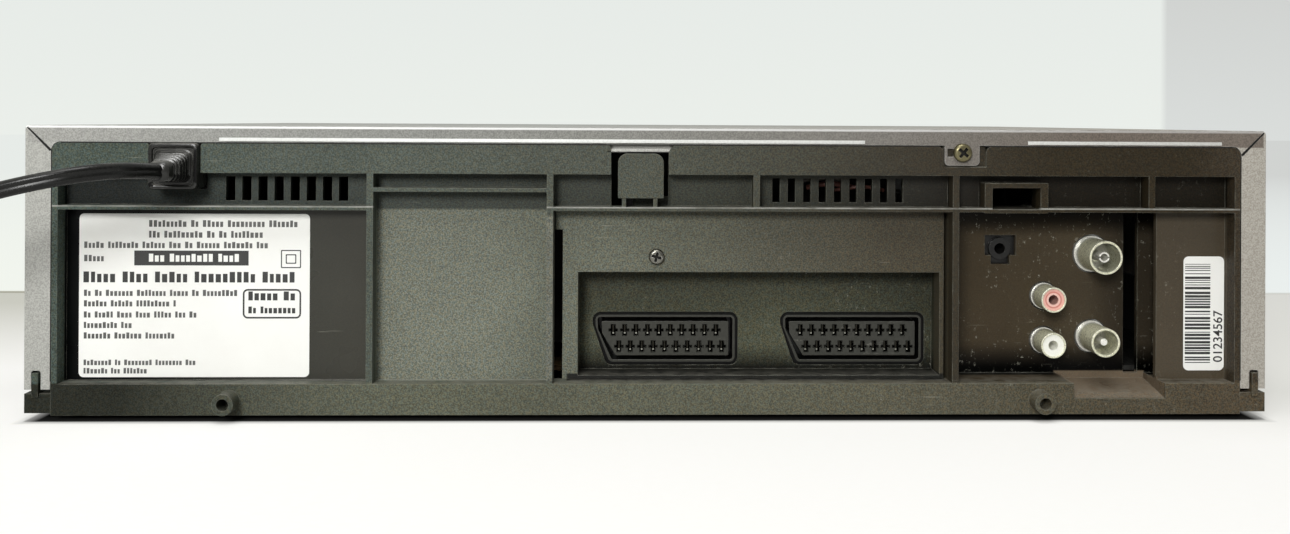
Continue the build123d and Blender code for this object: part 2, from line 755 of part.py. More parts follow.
def front_panel():
    """Moulded bezel, open at the back, with the door, window and button openings."""
    low = foot_height + 1.0
    outer = block((-half_width, half_width), (front_y, bezel_back), (low, case_height))
    corners = outer.edges().filter_by(Axis.Z).group_by(Axis.Y)[0]
    outer = fillet(corners, 7)
    rim = outer.faces().sort_by(Axis.Y)[0].edges()
    outer = chamfer(rim, 0.8)
    inner = block(
        (-half_width + bezel_wall, half_width - bezel_wall), (front_y + bezel_wall, bezel_back + 1),
        (low + bezel_wall, case_height - bezel_wall))
    inner = fillet(inner.edges().filter_by(Axis.Z).group_by(Axis.Y)[0], 5)
    body = outer - inner
    through = (front_y - 1, front_y + bezel_wall + 6)
    door_z = (door_top - door_height - door_gap, door_top + door_gap)
    groove_z = case_height - 47.0
    body -= block((-half_width - 1, half_width + 1), (front_y - 1, front_y + 0.9), (groove_z, groove_z + 1.4))
    hinge_z = door_top - door_thick / 2
    hinge_y = front_y + door_inset + door_thick / 2
    for side in (-1, 1):
        ear = (deck_x + side * (door_half + door_gap), deck_x + side * (door_half + 5))
        body += block(ear, (front_y + 1.2, front_y + 9), (door_top - 5, door_top + 1.5))
    body -= block((deck_x - door_half - door_gap, deck_x + door_half + door_gap), through, door_z)
    body += rod_x(
        hinge_y + 4, door_top - 2, 1.4, (deck_x - door_half - 11.5, deck_x - door_half - 4))
    body -= rod_x(
        hinge_y, hinge_z, pin_radius + running,
        (deck_x - door_half - 4, deck_x + door_half + 4))
    glass = at(window_x, window_z, Rectangle(window_width + 0.3, window_height + 0.3))
    body -= slab(glass, (front_y - 1, front_y + 1.7))
    body -= slab(at(window_x, window_z, Rectangle(window_width - 8, window_height - 6)), through)
    for _, x, z, width in key_spots():
        body -= slab(at(x, z, RectangleRounded(width + 0.6, key_height + 0.6, 1.6)), through)
    for x, z in board_bosses():
        body += rod_y(x, z, 2.6, (front_y + bezel_wall - 0.2, front_board_y()))
    return body


def front_board_y():
    return front_y + 15.5


def board_bosses():
    """Posts inside the bezel that the two front boards stand on."""
    spots = []
    for x in (window_x - window_width / 2 + 4, window_x + window_width / 2 - 4):
        spots += [(x, key_z + 9.5), (x, key_z - 12)]
    return spots + [(big_key_x - 10, (power_z + eject_z) / 2), (big_key_x + 10, (power_z + eject_z) / 2)]


def front_board():
    """Two small boards with the switches that the buttons press."""
    y = (front_board_y(), front_board_y() + board)
    right = block(
        (window_x - window_width / 2 - 3, window_x + window_width / 2), y,
        (key_z - 16, window_z + window_height / 2))
    left = block((big_key_x - 17, big_key_x + 17), y, (eject_z - 7, power_z + 7))
    for _, x, z, _ in key_spots():
        switch = block((x - 3, x + 3), (y[0] - 3.4, y[0]), (z - 3, z + 3))
        switch += rod_y(x, z, 1.5, (y[0] - 4.2, y[0] - 3))
        if x < 0:
            left += switch
        else:
            right += switch
    return [left, right]


def display_module():
    """Glass display tube with its frame, on the front board."""
    face = front_board_y() - 6.5
    body = block(
        (window_x - 36, window_x + 36), (face, front_board_y()), (window_z - 7.5, window_z + 7.5))
    return chamfer(body.faces().sort_by(Axis.Y)[0].edges(), 0.8)


def display_window():
    pane = at(window_x, window_z, RectangleRounded(window_width, window_height, 0.4))
    return slab(pane, (front_y + 0.1, front_y + 1.7))


def button(x, z, width):
    """Cap, a retaining flange behind the bezel's wall, and the stem that presses the switch."""
    back = front_y + bezel_wall
    cap = slab(at(x, z, RectangleRounded(width, key_height, 1.3)), (front_y - button_proud, back + 0.5))
    cap = fillet(cap.faces().sort_by(Axis.Y)[0].edges(), 0.5)
    cap += slab(at(x, z, Rectangle(width + 2, key_height + 2)), (back + 0.1, back + 1.2))
    stem_end = front_board_y() - 4.2 - key_travel - 0.1
    return cap + rod_y(x, z, 2.0, (back + 1, stem_end))


def cassette_door():
    """Flap hung on two pins along its rounded top edge, with ribs on its inner face."""
    y = (front_y + door_inset, front_y + door_inset + door_thick)
    axis_y = (y[0] + y[1]) / 2
    axis_z = door_top - door_thick / 2
    flap = block((deck_x - door_half, deck_x + door_half), y, (door_top - door_height, axis_z))
    flap += rod_x(axis_y, axis_z, door_thick / 2, (deck_x - door_half, deck_x + door_half))
    flap += rod_x(axis_y, axis_z, pin_radius, (deck_x - door_half - 3.6, deck_x + door_half + 3.6))
    for n in range(5):
        x = deck_x + (n - 2) * 38
        flap += block((x - 0.8, x + 0.8), (y[1] - 0.5, y[1] + 1.0), (door_top - door_height + 2, axis_z - 4))
    return flap


def door_spring():
    """Coil round a stub beside the door's left ear, with its two legs."""
    axis_y = front_y + door_inset + door_thick / 2
    x = deck_x - door_half - 8.2
    path = Helix(pitch=0.9, height=2.7, radius=2.0, center=(x - 1.6, axis_y + 4, door_top - 2), direction=(1, 0, 0))
    coil = sweep(Plane(path @ 0, z_dir=path % 0) * Circle(0.3), path=path)
    return coil


# ---------------------------------------------------------------- boards

def main_board():
    """Board on the tray's posts with the larger parts that stand on it."""
    y = (board_front(), deep_back - seam)
    plate = block((-half_width + 8, half_width - 8), y, (board_z, board_top))
    for x, post_y in deck_posts():
        plate -= rod(x, post_y, board_z - 1, 4.6, board + 2)
    for x in board_posts_x():
        for post_y in board_posts_y():
            plate -= rod(x, post_y, board_z - 1, 1.5, board + 2)
    chips = []
    for n, x in enumerate((half_width - 95, half_width - 70, half_width - 40)):
        chips.append(block((x - 8, x + 8), (y[0] + 20, y[0] + 48), (board_top, board_top + 3 + n)))
    for x in (-half_width + 22, -half_width + 46):
        chips.append(block((x - 7, x + 7), (y[0] + 70, y[0] + 94), (board_top, board_top + 3)))
    for chip in chips:
        plate += chip
    return plate


def transformer():
    """Mains transformer: laminated core with the bobbin through it."""
    half = core_width / 2
    y = (core_y - core_length / 2, core_y + core_length / 2)
    low = board_top + 4
    bobbin_z = (low + core_height / 5, low + core_height * 4 / 5)
    core = block((core_x - half, core_x + half), y, (low, low + core_height))
    bobbin = block(
        (core_x - bobbin_width / 2, core_x + bobbin_width / 2),
        (y[0] - bobbin_reach, y[1] + bobbin_reach), bobbin_z)
    legs = None
    for side in (-1, 1):
        leg = block(
            (core_x + side * (half - 7), core_x + side * (half - 1)), (y[0] + 4, y[1] - 4),
            (board_top, low + 1))
        legs = leg if legs is None else legs + leg
    return core + bobbin + legs


def capacitors():
    cans = []
    for inset, back, radius, height in (big_can, *small_cans):
        can = rod(half_width - inset, deep_back - back, board_top, radius, height)
        cans.append(fillet(can.faces().sort_by(Axis.Z)[-1].edges(), 0.8))
    return cans


def heat_sink():
    """Aluminium plate with fins across it."""
    x = (sink_x - sink_width / 2, sink_x + sink_width / 2)
    y = (sink_y - sink_depth / 2, sink_y + sink_depth / 2)
    top = board_top + sink_height
    body = block(x, (y[1] - 3, y[1]), (board_top, top))
    for n in range(9):
        fin = x[0] + 1 + n * (sink_width - 2) / 8
        body += block((fin - 0.7, fin + 0.7), (y[0], y[1] - 2), (board_top, top))
    return body


# ---------------------------------------------------------------- tape deck

def deck_plate():
    """Pressed deck with the posts for reels and gears, and slots for the guide bases."""
    x = (deck_x - deck_half, deck_x + deck_half)
    plate = block(x, (deck_front, deck_rear), (deck_z, deck_top))
    plate -= block((x[0] - 1, x[0] + 6), (deck_rear - 14, deck_rear + 1), (deck_z - 1, deck_top + 1))
    for side in (-1, 1):
        plate -= guide_slot(side)
        plate += rod(deck_x + side * reel_spacing / 2, reel_y, deck_z, deck_shaft, 19)
        plate += rod(deck_x + side * reel_spacing / 2, reel_y, deck_z, 6, 2.2)
    capstan_x = deck_x + capstan_dx
    plate -= rod(deck_x, clutch_y, deck_z - 1, 2.5 + running, 4)
    plate += rod(capstan_x, capstan_y, deck_z, 4, 4.6)
    plate -= rod(capstan_x, capstan_y, deck_z - 1, capstan_radius + running, 12)
    plate += rod(deck_x + cam_dx, cam_y, deck_z, deck_shaft, 9)
    plate += rod(deck_x + cam_dx, cam_y, deck_z, 5, 2)
    plate += rod(deck_x + arm_dx, arm_y, deck_z, deck_shaft, 8)
    plate += rod(deck_x + arm_dx, arm_y, deck_z, 4, 2.4)
    plate += rod(deck_x + tension_dx, tension_y, deck_z, deck_shaft, 8)
    plate += rod(deck_x + tension_dx, tension_y, deck_z, 4, 2.4)
    for post_x, post_y in deck_posts():
        plate -= rod(post_x, post_y, deck_z - 1, 1.5, 4)
    return plate


def guide_place(side, share):
    x = guide_start[0] + share * (guide_end[0] - guide_start[0])
    y = guide_start[1] + share * (guide_end[1] - guide_start[1])
    return deck_x + side * x, y


def guide_slot(side):
    x0, y0 = guide_place(side, 0)
    x1, y1 = guide_place(side, 1)
    length = hypot(x1 - x0, y1 - y0)
    turn = degrees(atan2(y1 - y0, x1 - x0))
    outline = Pos((x0 + x1) / 2, (y0 + y1) / 2, deck_z - 1) * Rot(0, 0, turn) * SlotCenterToCenter(length, 4.6)
    return extrude(outline, amount=4)


def guide_base(side):
    """Sliding base with the roller post that pulls the tape out, at its start."""
    x, y = guide_place(side, 0)
    x1, y1 = guide_place(side, 1)
    turn = degrees(atan2(y1 - y, x1 - x))
    foot = Pos(x, y, deck_top + 0.15) * Rot(0, 0, turn) * RectangleRounded(16, 13, 3)
    base = extrude(foot, amount=4)
    base += rod(x, y, deck_z, 2.0, 6)
    base += rod(x, y, deck_top + 3, 1.6, 26)
    base += rod(x, y, deck_top + 9, 3.0, 14)
    base += rod(x, y, deck_top + 24.5, 3.0, 1.5)
    return base


def housing(side):
    """Side plate of the cassette housing, with the window that the holder's pins run in."""
    inner = cassette_half + 4.0
    x = (deck_x + side * inner, deck_x + side * (inner + 1.2))
    plate = block(x, (deck_front + 1, capstan_y + 20), (deck_top, case_height - sheet - 4))
    plate -= block((x[0] - 2, x[1] + 2), pin_window_y(), pin_window_z())
    plate += block((x[0], x[0] + side * 9), (deck_front + 14, deck_front + 24), (deck_top, deck_top + 1.2))
    plate += block((x[0], x[0] + side * 9), (capstan_y, capstan_y + 10), (deck_top, deck_top + 1.2))
    return plate


def pin_rows():
    return (holder_front + 16, holder_front + 46)


def pin_height():
    return 12.0


def pin_window_y():
    reach = 1.5 + free
    return (pin_rows()[0] - reach, pin_rows()[1] + holder_travel + reach)


def pin_window_z():
    reach = 1.5 + free
    return (holder_low + pin_height() - reach, holder_high + pin_height() + reach)


def holder_carriage():
    """Two sliders that carry the holder back; the holder's pins drop in their slots."""
    sliders = []
    reach = 1.5 + free
    for side in (-1, 1):
        inner = cassette_half + 2.6
        x = (deck_x + side * inner, deck_x + side * (inner + 1.0))
        plate = block(
            x, (pin_rows()[0] - 6, pin_rows()[1] + 6), (pin_window_z()[0] - 4, pin_window_z()[1] + 4))
        for y in pin_rows():
            plate -= block((x[0] - 2, x[1] + 2), (y - reach, y + reach), pin_window_z())
        sliders.append(plate)
    return sliders


def cassette_holder():
    """Open cradle for the cassette: two channels joined over the top, with four pins."""
    y = (holder_front, holder_front + holder_length)
    z = (holder_high, holder_high + cassette_height + 2.1)
    outer = cassette_half + 2.2
    inner = outer - holder_sheet
    body = block((deck_x - outer, deck_x + outer), (y[0] + 24, y[1]), (z[1] - 1.0, z[1]))
    for side in (-1, 1):
        body += block((deck_x + side * inner, deck_x + side * outer), y, z)
        body += block((deck_x + side * (outer - 12), deck_x + side * outer), y, (z[0], z[0] + 1.0))
        body += block((deck_x + side * (outer - 9), deck_x + side * outer), y, (z[1] - 1.0, z[1]))
        for row in pin_rows():
            body += rod_x(
                row, z[0] + pin_height(), 1.5,
                sorted((deck_x + side * inner, deck_x + side * (outer + 2.9))))
    return body


def drum_place():
    return Pos(deck_x, drum_y, deck_top + 4) * Rot(drum_tilt, 0, 0)


def drum_lower():
    """Fixed lower drum with its foot on the deck and the spindle for the upper drum."""
    body = drum_place() * Pos(0, 0, lower_drum / 2) * Cylinder(drum_radius, lower_drum)
    body += Pos(deck_x, drum_y, deck_top + 5) * Cylinder(17, 10)
    body += drum_place() * Pos(0, 0, lower_drum + 10) * Cylinder(3, 20)
    ledge = drum_place() * Pos(0, 0, lower_drum - 3) * (Cylinder(drum_radius + 1, 1.0) - Cylinder(drum_radius - 0.5, 2))
    return body - ledge


def drum_upper():
    """Spinning drum with the head windows in its lower rim."""
    base = lower_drum + 0.3
    body = drum_place() * Pos(0, 0, base + upper_drum / 2) * Cylinder(drum_radius, upper_drum)
    body -= drum_place() * Pos(0, 0, base + upper_drum / 2) * Cylinder(3 + running, upper_drum + 2)
    body -= drum_place() * Pos(0, 0, base + upper_drum) * (Cylinder(26, 8) - Cylinder(10, 8))
    for turn in (0, 90, 180, 270):
        window = drum_place() * Rot(0, 0, turn) * Pos(drum_radius, 0, base) * Box(4, 5, 3)
        body -= window
    return body


def reel(side):
    """Reel table on its post: geared rim, hub and splined spindle."""
    x = deck_x + side * reel_spacing / 2
    body = rod(x, reel_y, deck_top + 1.3, reel_radius, 2.4)
    body += rod(x, reel_y, deck_top + 3, 11, 4)
    body += rod(x, reel_y, deck_top + 6, 5.2, 15)
    for turn in (0, 120, 240):
        body += Pos(x, reel_y, deck_top + 13) * Rot(0, 0, turn) * Pos(5.4, 0, 0) * Box(3, 1.6, 12)
    return body - rod(x, reel_y, deck_z, deck_shaft + running, 19.4)


def capstan():
    """Shaft with its flywheel and belt pulley under the deck."""
    x = deck_x + capstan_dx
    body = rod(x, capstan_y, deck_z - 9, capstan_radius, 38)
    body += rod(x, capstan_y, deck_z - 9, flywheel_radius, 4)
    return body + rod(x, capstan_y, deck_z - 5.5, pulley_radius, 4.8)


def capstan_motor():
    """Stator plate hung under the deck on three standoffs, below the flywheel."""
    x = deck_x + capstan_dx
    body = rod(x, capstan_y, deck_z - 11.6, flywheel_radius + 6, 1.4)
    for turn in (90, 210, 330):
        dx = (flywheel_radius + 3.4) * cos(radians(turn))
        dy = (flywheel_radius + 3.4) * sin(radians(turn))
        body += rod(x + dx, capstan_y + dy, deck_z - 11.6, 2.2, 11.6)
    return body


def clutch_gear():
    """Gear between the reels, on a shaft through the deck to its belt pulley."""
    body = rod(deck_x, clutch_y, deck_top + 1, clutch_radius, 3.2)
    body += rod(deck_x, clutch_y, deck_z - 5, 2.5, 8)
    return body + rod(deck_x, clutch_y, deck_z - 5.5, clutch_pulley, 4.8)


def drive_belt():
    """Rubber belt round the capstan's pulley and the clutch pulley."""
    x = deck_x + capstan_dx
    gap = 0.1

    def loop(grow):
        first = Pos(x, capstan_y) * Circle(pulley_radius + grow)
        second = Pos(deck_x, clutch_y) * Circle(clutch_pulley + grow)
        return make_hull(first.edges() + second.edges())

    ring = loop(gap + belt_thick) - loop(gap)
    return extrude(Pos(0, 0, deck_z - 4.6) * ring, amount=3)


def pinch_arm():
    """Arm with the pin that carries the pinch roller, swung open."""
    x, y = deck_x + arm_dx, arm_y
    tip_x = x + arm_length * cos(radians(arm_open))
    tip_y = y + arm_length * sin(radians(arm_open))
    path = Pos((x + tip_x) / 2, (y + tip_y) / 2, deck_top + 1.6) * Rot(0, 0, arm_open)
    body = extrude(path * SlotCenterToCenter(arm_length, 8), amount=2.2)
    body += rod(x, y, deck_top + 1.6, 4, 5)
    body += rod(tip_x, tip_y, deck_top + 1.6, 1.5, 25)
    return body - rod(x, y, deck_z, deck_shaft + running, 12)


def pinch_roller():
    tip_x = deck_x + arm_dx + arm_length * cos(radians(arm_open))
    tip_y = arm_y + arm_length * sin(radians(arm_open))
    body = rod(tip_x, tip_y, deck_top + 4.2, roller_radius, 20)
    body = fillet(body.edges().filter_by(GeomType.CIRCLE), 0.6)
    return body - rod(tip_x, tip_y, deck_z, 1.5 + running, 40)


def cam_gear():
    """Large mode gear that moves the guides and the pinch arm."""
    x, y = deck_x + cam_dx, cam_y
    body = rod(x, y, deck_top + 1.1, cam_radius, 4.6)
    body -= rod(x, y, deck_top + 3.4, cam_radius - 3, 4)
    body += rod(x, y, deck_top + 1.1, 6, 5.6)
    body += rod(x + 10, y, deck_top + 3, 2.2, 3)
    return body - rod(x, y, deck_z, deck_shaft + running, 12)


def loading_motor():
    """Small motor in its bracket at the deck's rear corner."""
    x, y = deck_x + cam_dx + 10, deck_rear - 5.0
    bracket_plate = block((x - 15, x + 15), (y - 0.8, y + 0.8), (deck_top, deck_top + 14))
    bracket_foot = block((x - 15, x + 15), (y - 0.8, y + 4.4), (deck_top, deck_top + 1.2))
    motor = rod_x(y - 0.8, deck_top + 23, 9.5, (x - 14, x + 12))
    return bracket_plate + bracket_foot + motor


def tape_heads():
    """The full-width erase head and the sound and control head, each on its base."""
    erase_x = deck_x - 58
    sound_x = deck_x + 52
    erase = block((erase_x - 6, erase_x + 5), (drum_y - 14, drum_y - 7), (deck_top, deck_top + 26))
    erase = fillet(erase.edges().filter_by(Axis.Z), 1.5)
    sound = block((sound_x - 5, sound_x + 5), (drum_y - 6, drum_y + 1), (deck_top, deck_top + 26))
    sound = fillet(sound.edges().filter_by(Axis.Z), 1.5)
    return [erase, sound]


def tension_arm():
    """Sprung arm with the post that feels the tape's tension."""
    x, y = deck_x + tension_dx, tension_y
    tip_x, tip_y = x + tension_reach[0], y + tension_reach[1]
    turn = degrees(atan2(*reversed(tension_reach)))
    outline = Pos((x + tip_x) / 2, (y + tip_y) / 2, deck_top + 1.6) * Rot(0, 0, turn)
    body = extrude(outline * SlotCenterToCenter(hypot(*tension_reach), 6), amount=1.6)
    body += rod(x, y, deck_top + 1.6, 4, 4)
    body += rod(tip_x, tip_y, deck_top + 1.6, 1.5, 24)
    return body - rod(x, y, deck_z, deck_shaft + running, 12)


# ---------------------------------------------------------------- mains lead

def strain_relief():
    """Moulded bush in the rear panel's notch, with a tapered boot that points straight out."""
    width, height = relief_width, relief_height
    bush = slab(at(relief_x, relief_z, RectangleRounded(width, height, 1.2)), (shallow_back - 1.5, rear_y + 2.2))
    groove = slab(
        at(relief_x, relief_z - 0.6, Rectangle(width + 2, height + 3.2)), (shallow_back - 3.5, shallow_back - seam))
    boot_start = Plane((relief_x, rear_y + 1.5, relief_z), x_dir=(1, 0, 0), z_dir=(0, 1, 0))
    tip = Vector(*lead_at(0))
    along = (Vector(*lead_at(1)) - tip).normalized()
    boot_end = Plane(tip, x_dir=(along.Y, -along.X, 0), z_dir=along)
    boot = loft([
        boot_start * RectangleRounded(12.4, 10.8, 3),
        boot_end * RectangleRounded(7.0, 6.4, 2.4)])
    return bush + groove + boot


def lead_at(n):
    x, w, z = lead_points[n]
    return (x, rear_y + w, z)


def corner_radii(points):
    """The largest arc that the runs at each corner allow."""
    radii = []
    for a, b, c in zip(points, points[1:], points[2:]):
        before = Vector(*b) - Vector(*a)
        after = Vector(*c) - Vector(*b)
        half_turn = radians(before.get_angle(after)) / 2
        radii.append(0.45 * min(before.length, after.length) / tan(half_turn))
    return radii


def mains_cord():
    """The lead from the boot down to its coil, and the short tail into the plug."""
    points = [lead_at(n) for n in range(len(lead_points))]
    radii = corner_radii(points)
    print("lead radii", [round(r, 1) for r in radii])
    path = FilletPolyline(*points, radius=radii)
    start = Plane(path @ 0, z_dir=path % 0)
    tube = sweep(start * Circle(lead_diameter / 2), path=path)
    print("lead length", round(path.length, 1), "volume ratio", round(
        tube.volume / (path.length * pi * lead_diameter ** 2 / 4), 4))
    tail = rod_y(
        tail_x(), tail_z(), lead_diameter / 2, (plug_face(), coil_y + 4))
    return [tube, tail]


def coil_outer():
    return coil_middle + coil_columns * lead_diameter / 2


def tail_x():
    return coil_x + coil_outer() - lead_diameter / 2


def tail_z():
    return lead_diameter * 1.5


def plug_face():
    return coil_y - 42.0


def cord_coil():
    """Outer shape of the neat coil that takes up the rest of the lead."""
    height = coil_layers * lead_diameter
    inner = coil_middle - coil_columns * lead_diameter / 2
    ring = Cylinder(coil_outer(), height) - Cylinder(inner, height + 1)
    ring = fillet(ring.edges().filter_by(GeomType.CIRCLE), 2.2)
    return Pos(coil_x, coil_y, height / 2) * ring


def mains_plug():
    """Moulded plug lying on its back, three flat pins up."""
    y = (plug_face() - plug_length, plug_face())
    x = tail_x()
    shape = Pos(x, (y[0] + y[1]) / 2) * RectangleRounded(plug_width, plug_length, 9)
    body = extrude(shape, amount=plug_height)
    body = fillet(body.faces().sort_by(Axis.Z)[0].edges(), 4)
    pins = block((x - 2, x + 2), (y[0] + 7, y[0] + 15), (plug_height - 2, plug_height + 22.7))
    for side in (-1, 1):
        across = (x + side * 11.1 - 3.2, x + side * 11.1 + 3.2)
        pins += block(across, (y[0] + 31, y[0] + 35), (plug_height - 2, plug_height + 17.7))
    return body + pins


# ---------------------------------------------------------------- the whole

os.makedirs("parts", exist_ok=True)

save("top_cover", top_cover())
save("bottom_cover", bottom_cover())
save("feet", *feet())
save("chassis_tray", chassis_tray())
save("rear_panel", rear_panel() - ramp_cut() - peg_bores())
save("socket_plate", socket_plate())
save("cover_screw", screw(screw_x, screw_z, 3.05, rear_y, 6))
save("plate_screw", screw(plate_screw_x, plate_screw_z, 2.6, recess_y, 4.4))
save("scart_socket_left", scart_socket(scart_firsts()[0]))
save("scart_socket_right", scart_socket(scart_firsts()[1]))
save("scart_contacts", *scart_contacts())
save("jack_block", jack_block())
save("phono_shells", *phono_shells())
save("phono_insert_red", phono_insert(phono_upper_z))
save("phono_insert_white", phono_insert(phono_lower_z))
save("tuner_module", tuner_module())
save("aerial_in_socket", aerial_socket(aerial_in_z, aerial_in_radius, 1.75))
save("aerial_out_socket", aerial_socket(aerial_out_z, aerial_out_radius, 1.15))
save("front_panel", front_panel())
save("front_board", *front_board())
save("display_module", display_module())
save("display_window", display_window())
save("cassette_door", cassette_door())
save("door_spring", door_spring())
for name, x, z, width in key_spots():
    save(name, button(x, z, width))
save("main_board", main_board())
save("transformer", transformer())
save("capacitors", *capacitors())
save("heat_sink", heat_sink())
save("deck_plate", deck_plate())
save("housing_left", housing(-1))
save("housing_right", housing(1))
save("holder_carriage", *holder_carriage())
save("cassette_holder", cassette_holder())
save("drum_lower", drum_lower())
save("drum_upper", drum_upper())
save("supply_reel", reel(-1))
save("take_up_reel", reel(1))
save("capstan", capstan())
save("capstan_motor", capstan_motor())
save("clutch_gear", clutch_gear())
save("drive_belt", drive_belt())
save("pinch_arm", pinch_arm())
save("pinch_roller", pinch_roller())
save("guide_left", guide_base(-1))
save("guide_right", guide_base(1))
save("cam_gear", cam_gear())
save("loading_motor", loading_motor())
save("tape_heads", *tape_heads())
save("tension_arm", tension_arm())
save("strain_relief", strain_relief())
save("mains_cord", *mains_cord())
save("cord_coil", cord_coil())
save("mains_plug", mains_plug())
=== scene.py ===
import math
import random

import bmesh
import bpy
from mathutils import Matrix, Vector


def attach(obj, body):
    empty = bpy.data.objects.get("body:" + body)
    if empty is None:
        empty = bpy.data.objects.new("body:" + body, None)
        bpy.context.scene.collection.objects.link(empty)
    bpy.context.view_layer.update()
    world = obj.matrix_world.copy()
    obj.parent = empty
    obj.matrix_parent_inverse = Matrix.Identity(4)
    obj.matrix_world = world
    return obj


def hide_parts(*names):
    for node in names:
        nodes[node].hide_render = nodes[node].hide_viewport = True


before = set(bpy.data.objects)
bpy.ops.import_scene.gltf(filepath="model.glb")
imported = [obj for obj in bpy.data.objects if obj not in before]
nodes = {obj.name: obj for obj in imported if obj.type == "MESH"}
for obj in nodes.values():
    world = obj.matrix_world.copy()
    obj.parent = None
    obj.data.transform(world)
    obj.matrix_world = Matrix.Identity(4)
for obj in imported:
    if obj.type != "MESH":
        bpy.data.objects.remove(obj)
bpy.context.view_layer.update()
scene = bpy.context.scene
rearY = 0.139  # outer plane of the rear panel
floorY = 0.1327  # floor of the panel's shallow bays
printLift = 0.00003  # height of printed marks over their ground
xAxis, yAxis, zAxis = (Vector(row) for row in Matrix.Identity(3))

camera = {
    "place": (0.008, 0.5133, 0.0965), "yaw": 1.54, "pitch": 0.09, "roll": 0.3,
    "lens": 32.4, "sensor": 36.0, "shift": (-0.0125, -0.115), "clip": (0.01, 20.0),
}


def linkObject(name, data):
    obj = bpy.data.objects.new(name, data)
    scene.collection.objects.link(obj)
    return obj


def addCamera(c):
    data = bpy.data.cameras.new("viewCamera")
    data.sensor_width, data.sensor_fit = c["sensor"], "HORIZONTAL"
    data.lens = c["lens"]
    data.shift_x, data.shift_y = c["shift"]
    data.clip_start, data.clip_end = c["clip"]
    yaw, pitch, roll = (math.radians(c[k]) for k in ("yaw", "pitch", "roll"))
    # looking along -Y, so +X lies to the left of the view
    forward = Vector((-math.sin(yaw) * math.cos(pitch), -math.cos(yaw) * math.cos(pitch), math.sin(pitch)))
    right = forward.cross(zAxis).normalized()
    up = right.cross(forward)
    across = right * math.cos(roll) + up * math.sin(roll)
    over = up * math.cos(roll) - right * math.sin(roll)
    turn = Matrix((across, over, -forward)).transposed()
    scene.camera = linkObject("viewCamera", data)
    scene.camera.matrix_world = Matrix.Translation(c["place"]) @ turn.to_4x4()


addCamera(camera)
print("camera placed")


# small helpers for meshes

def meshOf(name, bm):
    mesh = bpy.data.meshes.new(name)
    bm.to_mesh(mesh)
    bm.free()
    return mesh


def linkMesh(mesh, finish, body="chassis", sharp=0):
    # sharp: the angle in degrees from which an edge stays sharp, 0 for flat faces
    if sharp:
        for face in mesh.polygons:
            face.use_smooth = True
        mesh.set_sharp_from_angle(angle=math.radians(sharp))
    obj = linkObject(mesh.name, mesh)
    mesh.materials.append(finish)
    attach(obj, body)
    return obj


def roundedRing(centre, across, over, halfWide, halfHigh, corner, steps=4):
    # points of a rounded rectangle, anticlockwise
    corner = min(corner, halfWide * 0.98, halfHigh * 0.98)
    points = []
    for quarter, (sx, sy) in enumerate(((1, 1), (-1, 1), (-1, -1), (1, -1))):
        cx, cy = sx * (halfWide - corner), sy * (halfHigh - corner)
        for n in range(steps + 1):
            a = math.radians(90 * quarter + 90 * n / steps)
            points.append(centre + across * (cx + corner * math.cos(a)) + over * (cy + corner * math.sin(a)))
    return points


def bridge(bm, before, after):
    for n in range(len(before)):
        m = (n + 1) % len(before)
        bm.faces.new((before[n], before[m], after[m], after[n]))


def loftMesh(name, rings):
    bm = bmesh.new()
    loops = [[bm.verts.new(p) for p in ring] for ring in rings]
    for before, after in zip(loops, loops[1:]):
        bridge(bm, before, after)
    bm.faces.new(list(reversed(loops[0])))
    bm.faces.new(loops[-1])
    bmesh.ops.recalc_face_normals(bm, faces=bm.faces)
    return meshOf(name, bm)


def addBlock(bm, centre, size, bevel):
    part = bmesh.ops.create_cube(bm, size=1.0, matrix=Matrix.Translation(centre) @ Matrix.Diagonal((*size, 1)))
    edges = list(dict.fromkeys(e for v in part["verts"] for e in v.link_edges))
    bmesh.ops.bevel(bm, geom=edges, offset=bevel, segments=2, affect="EDGES")


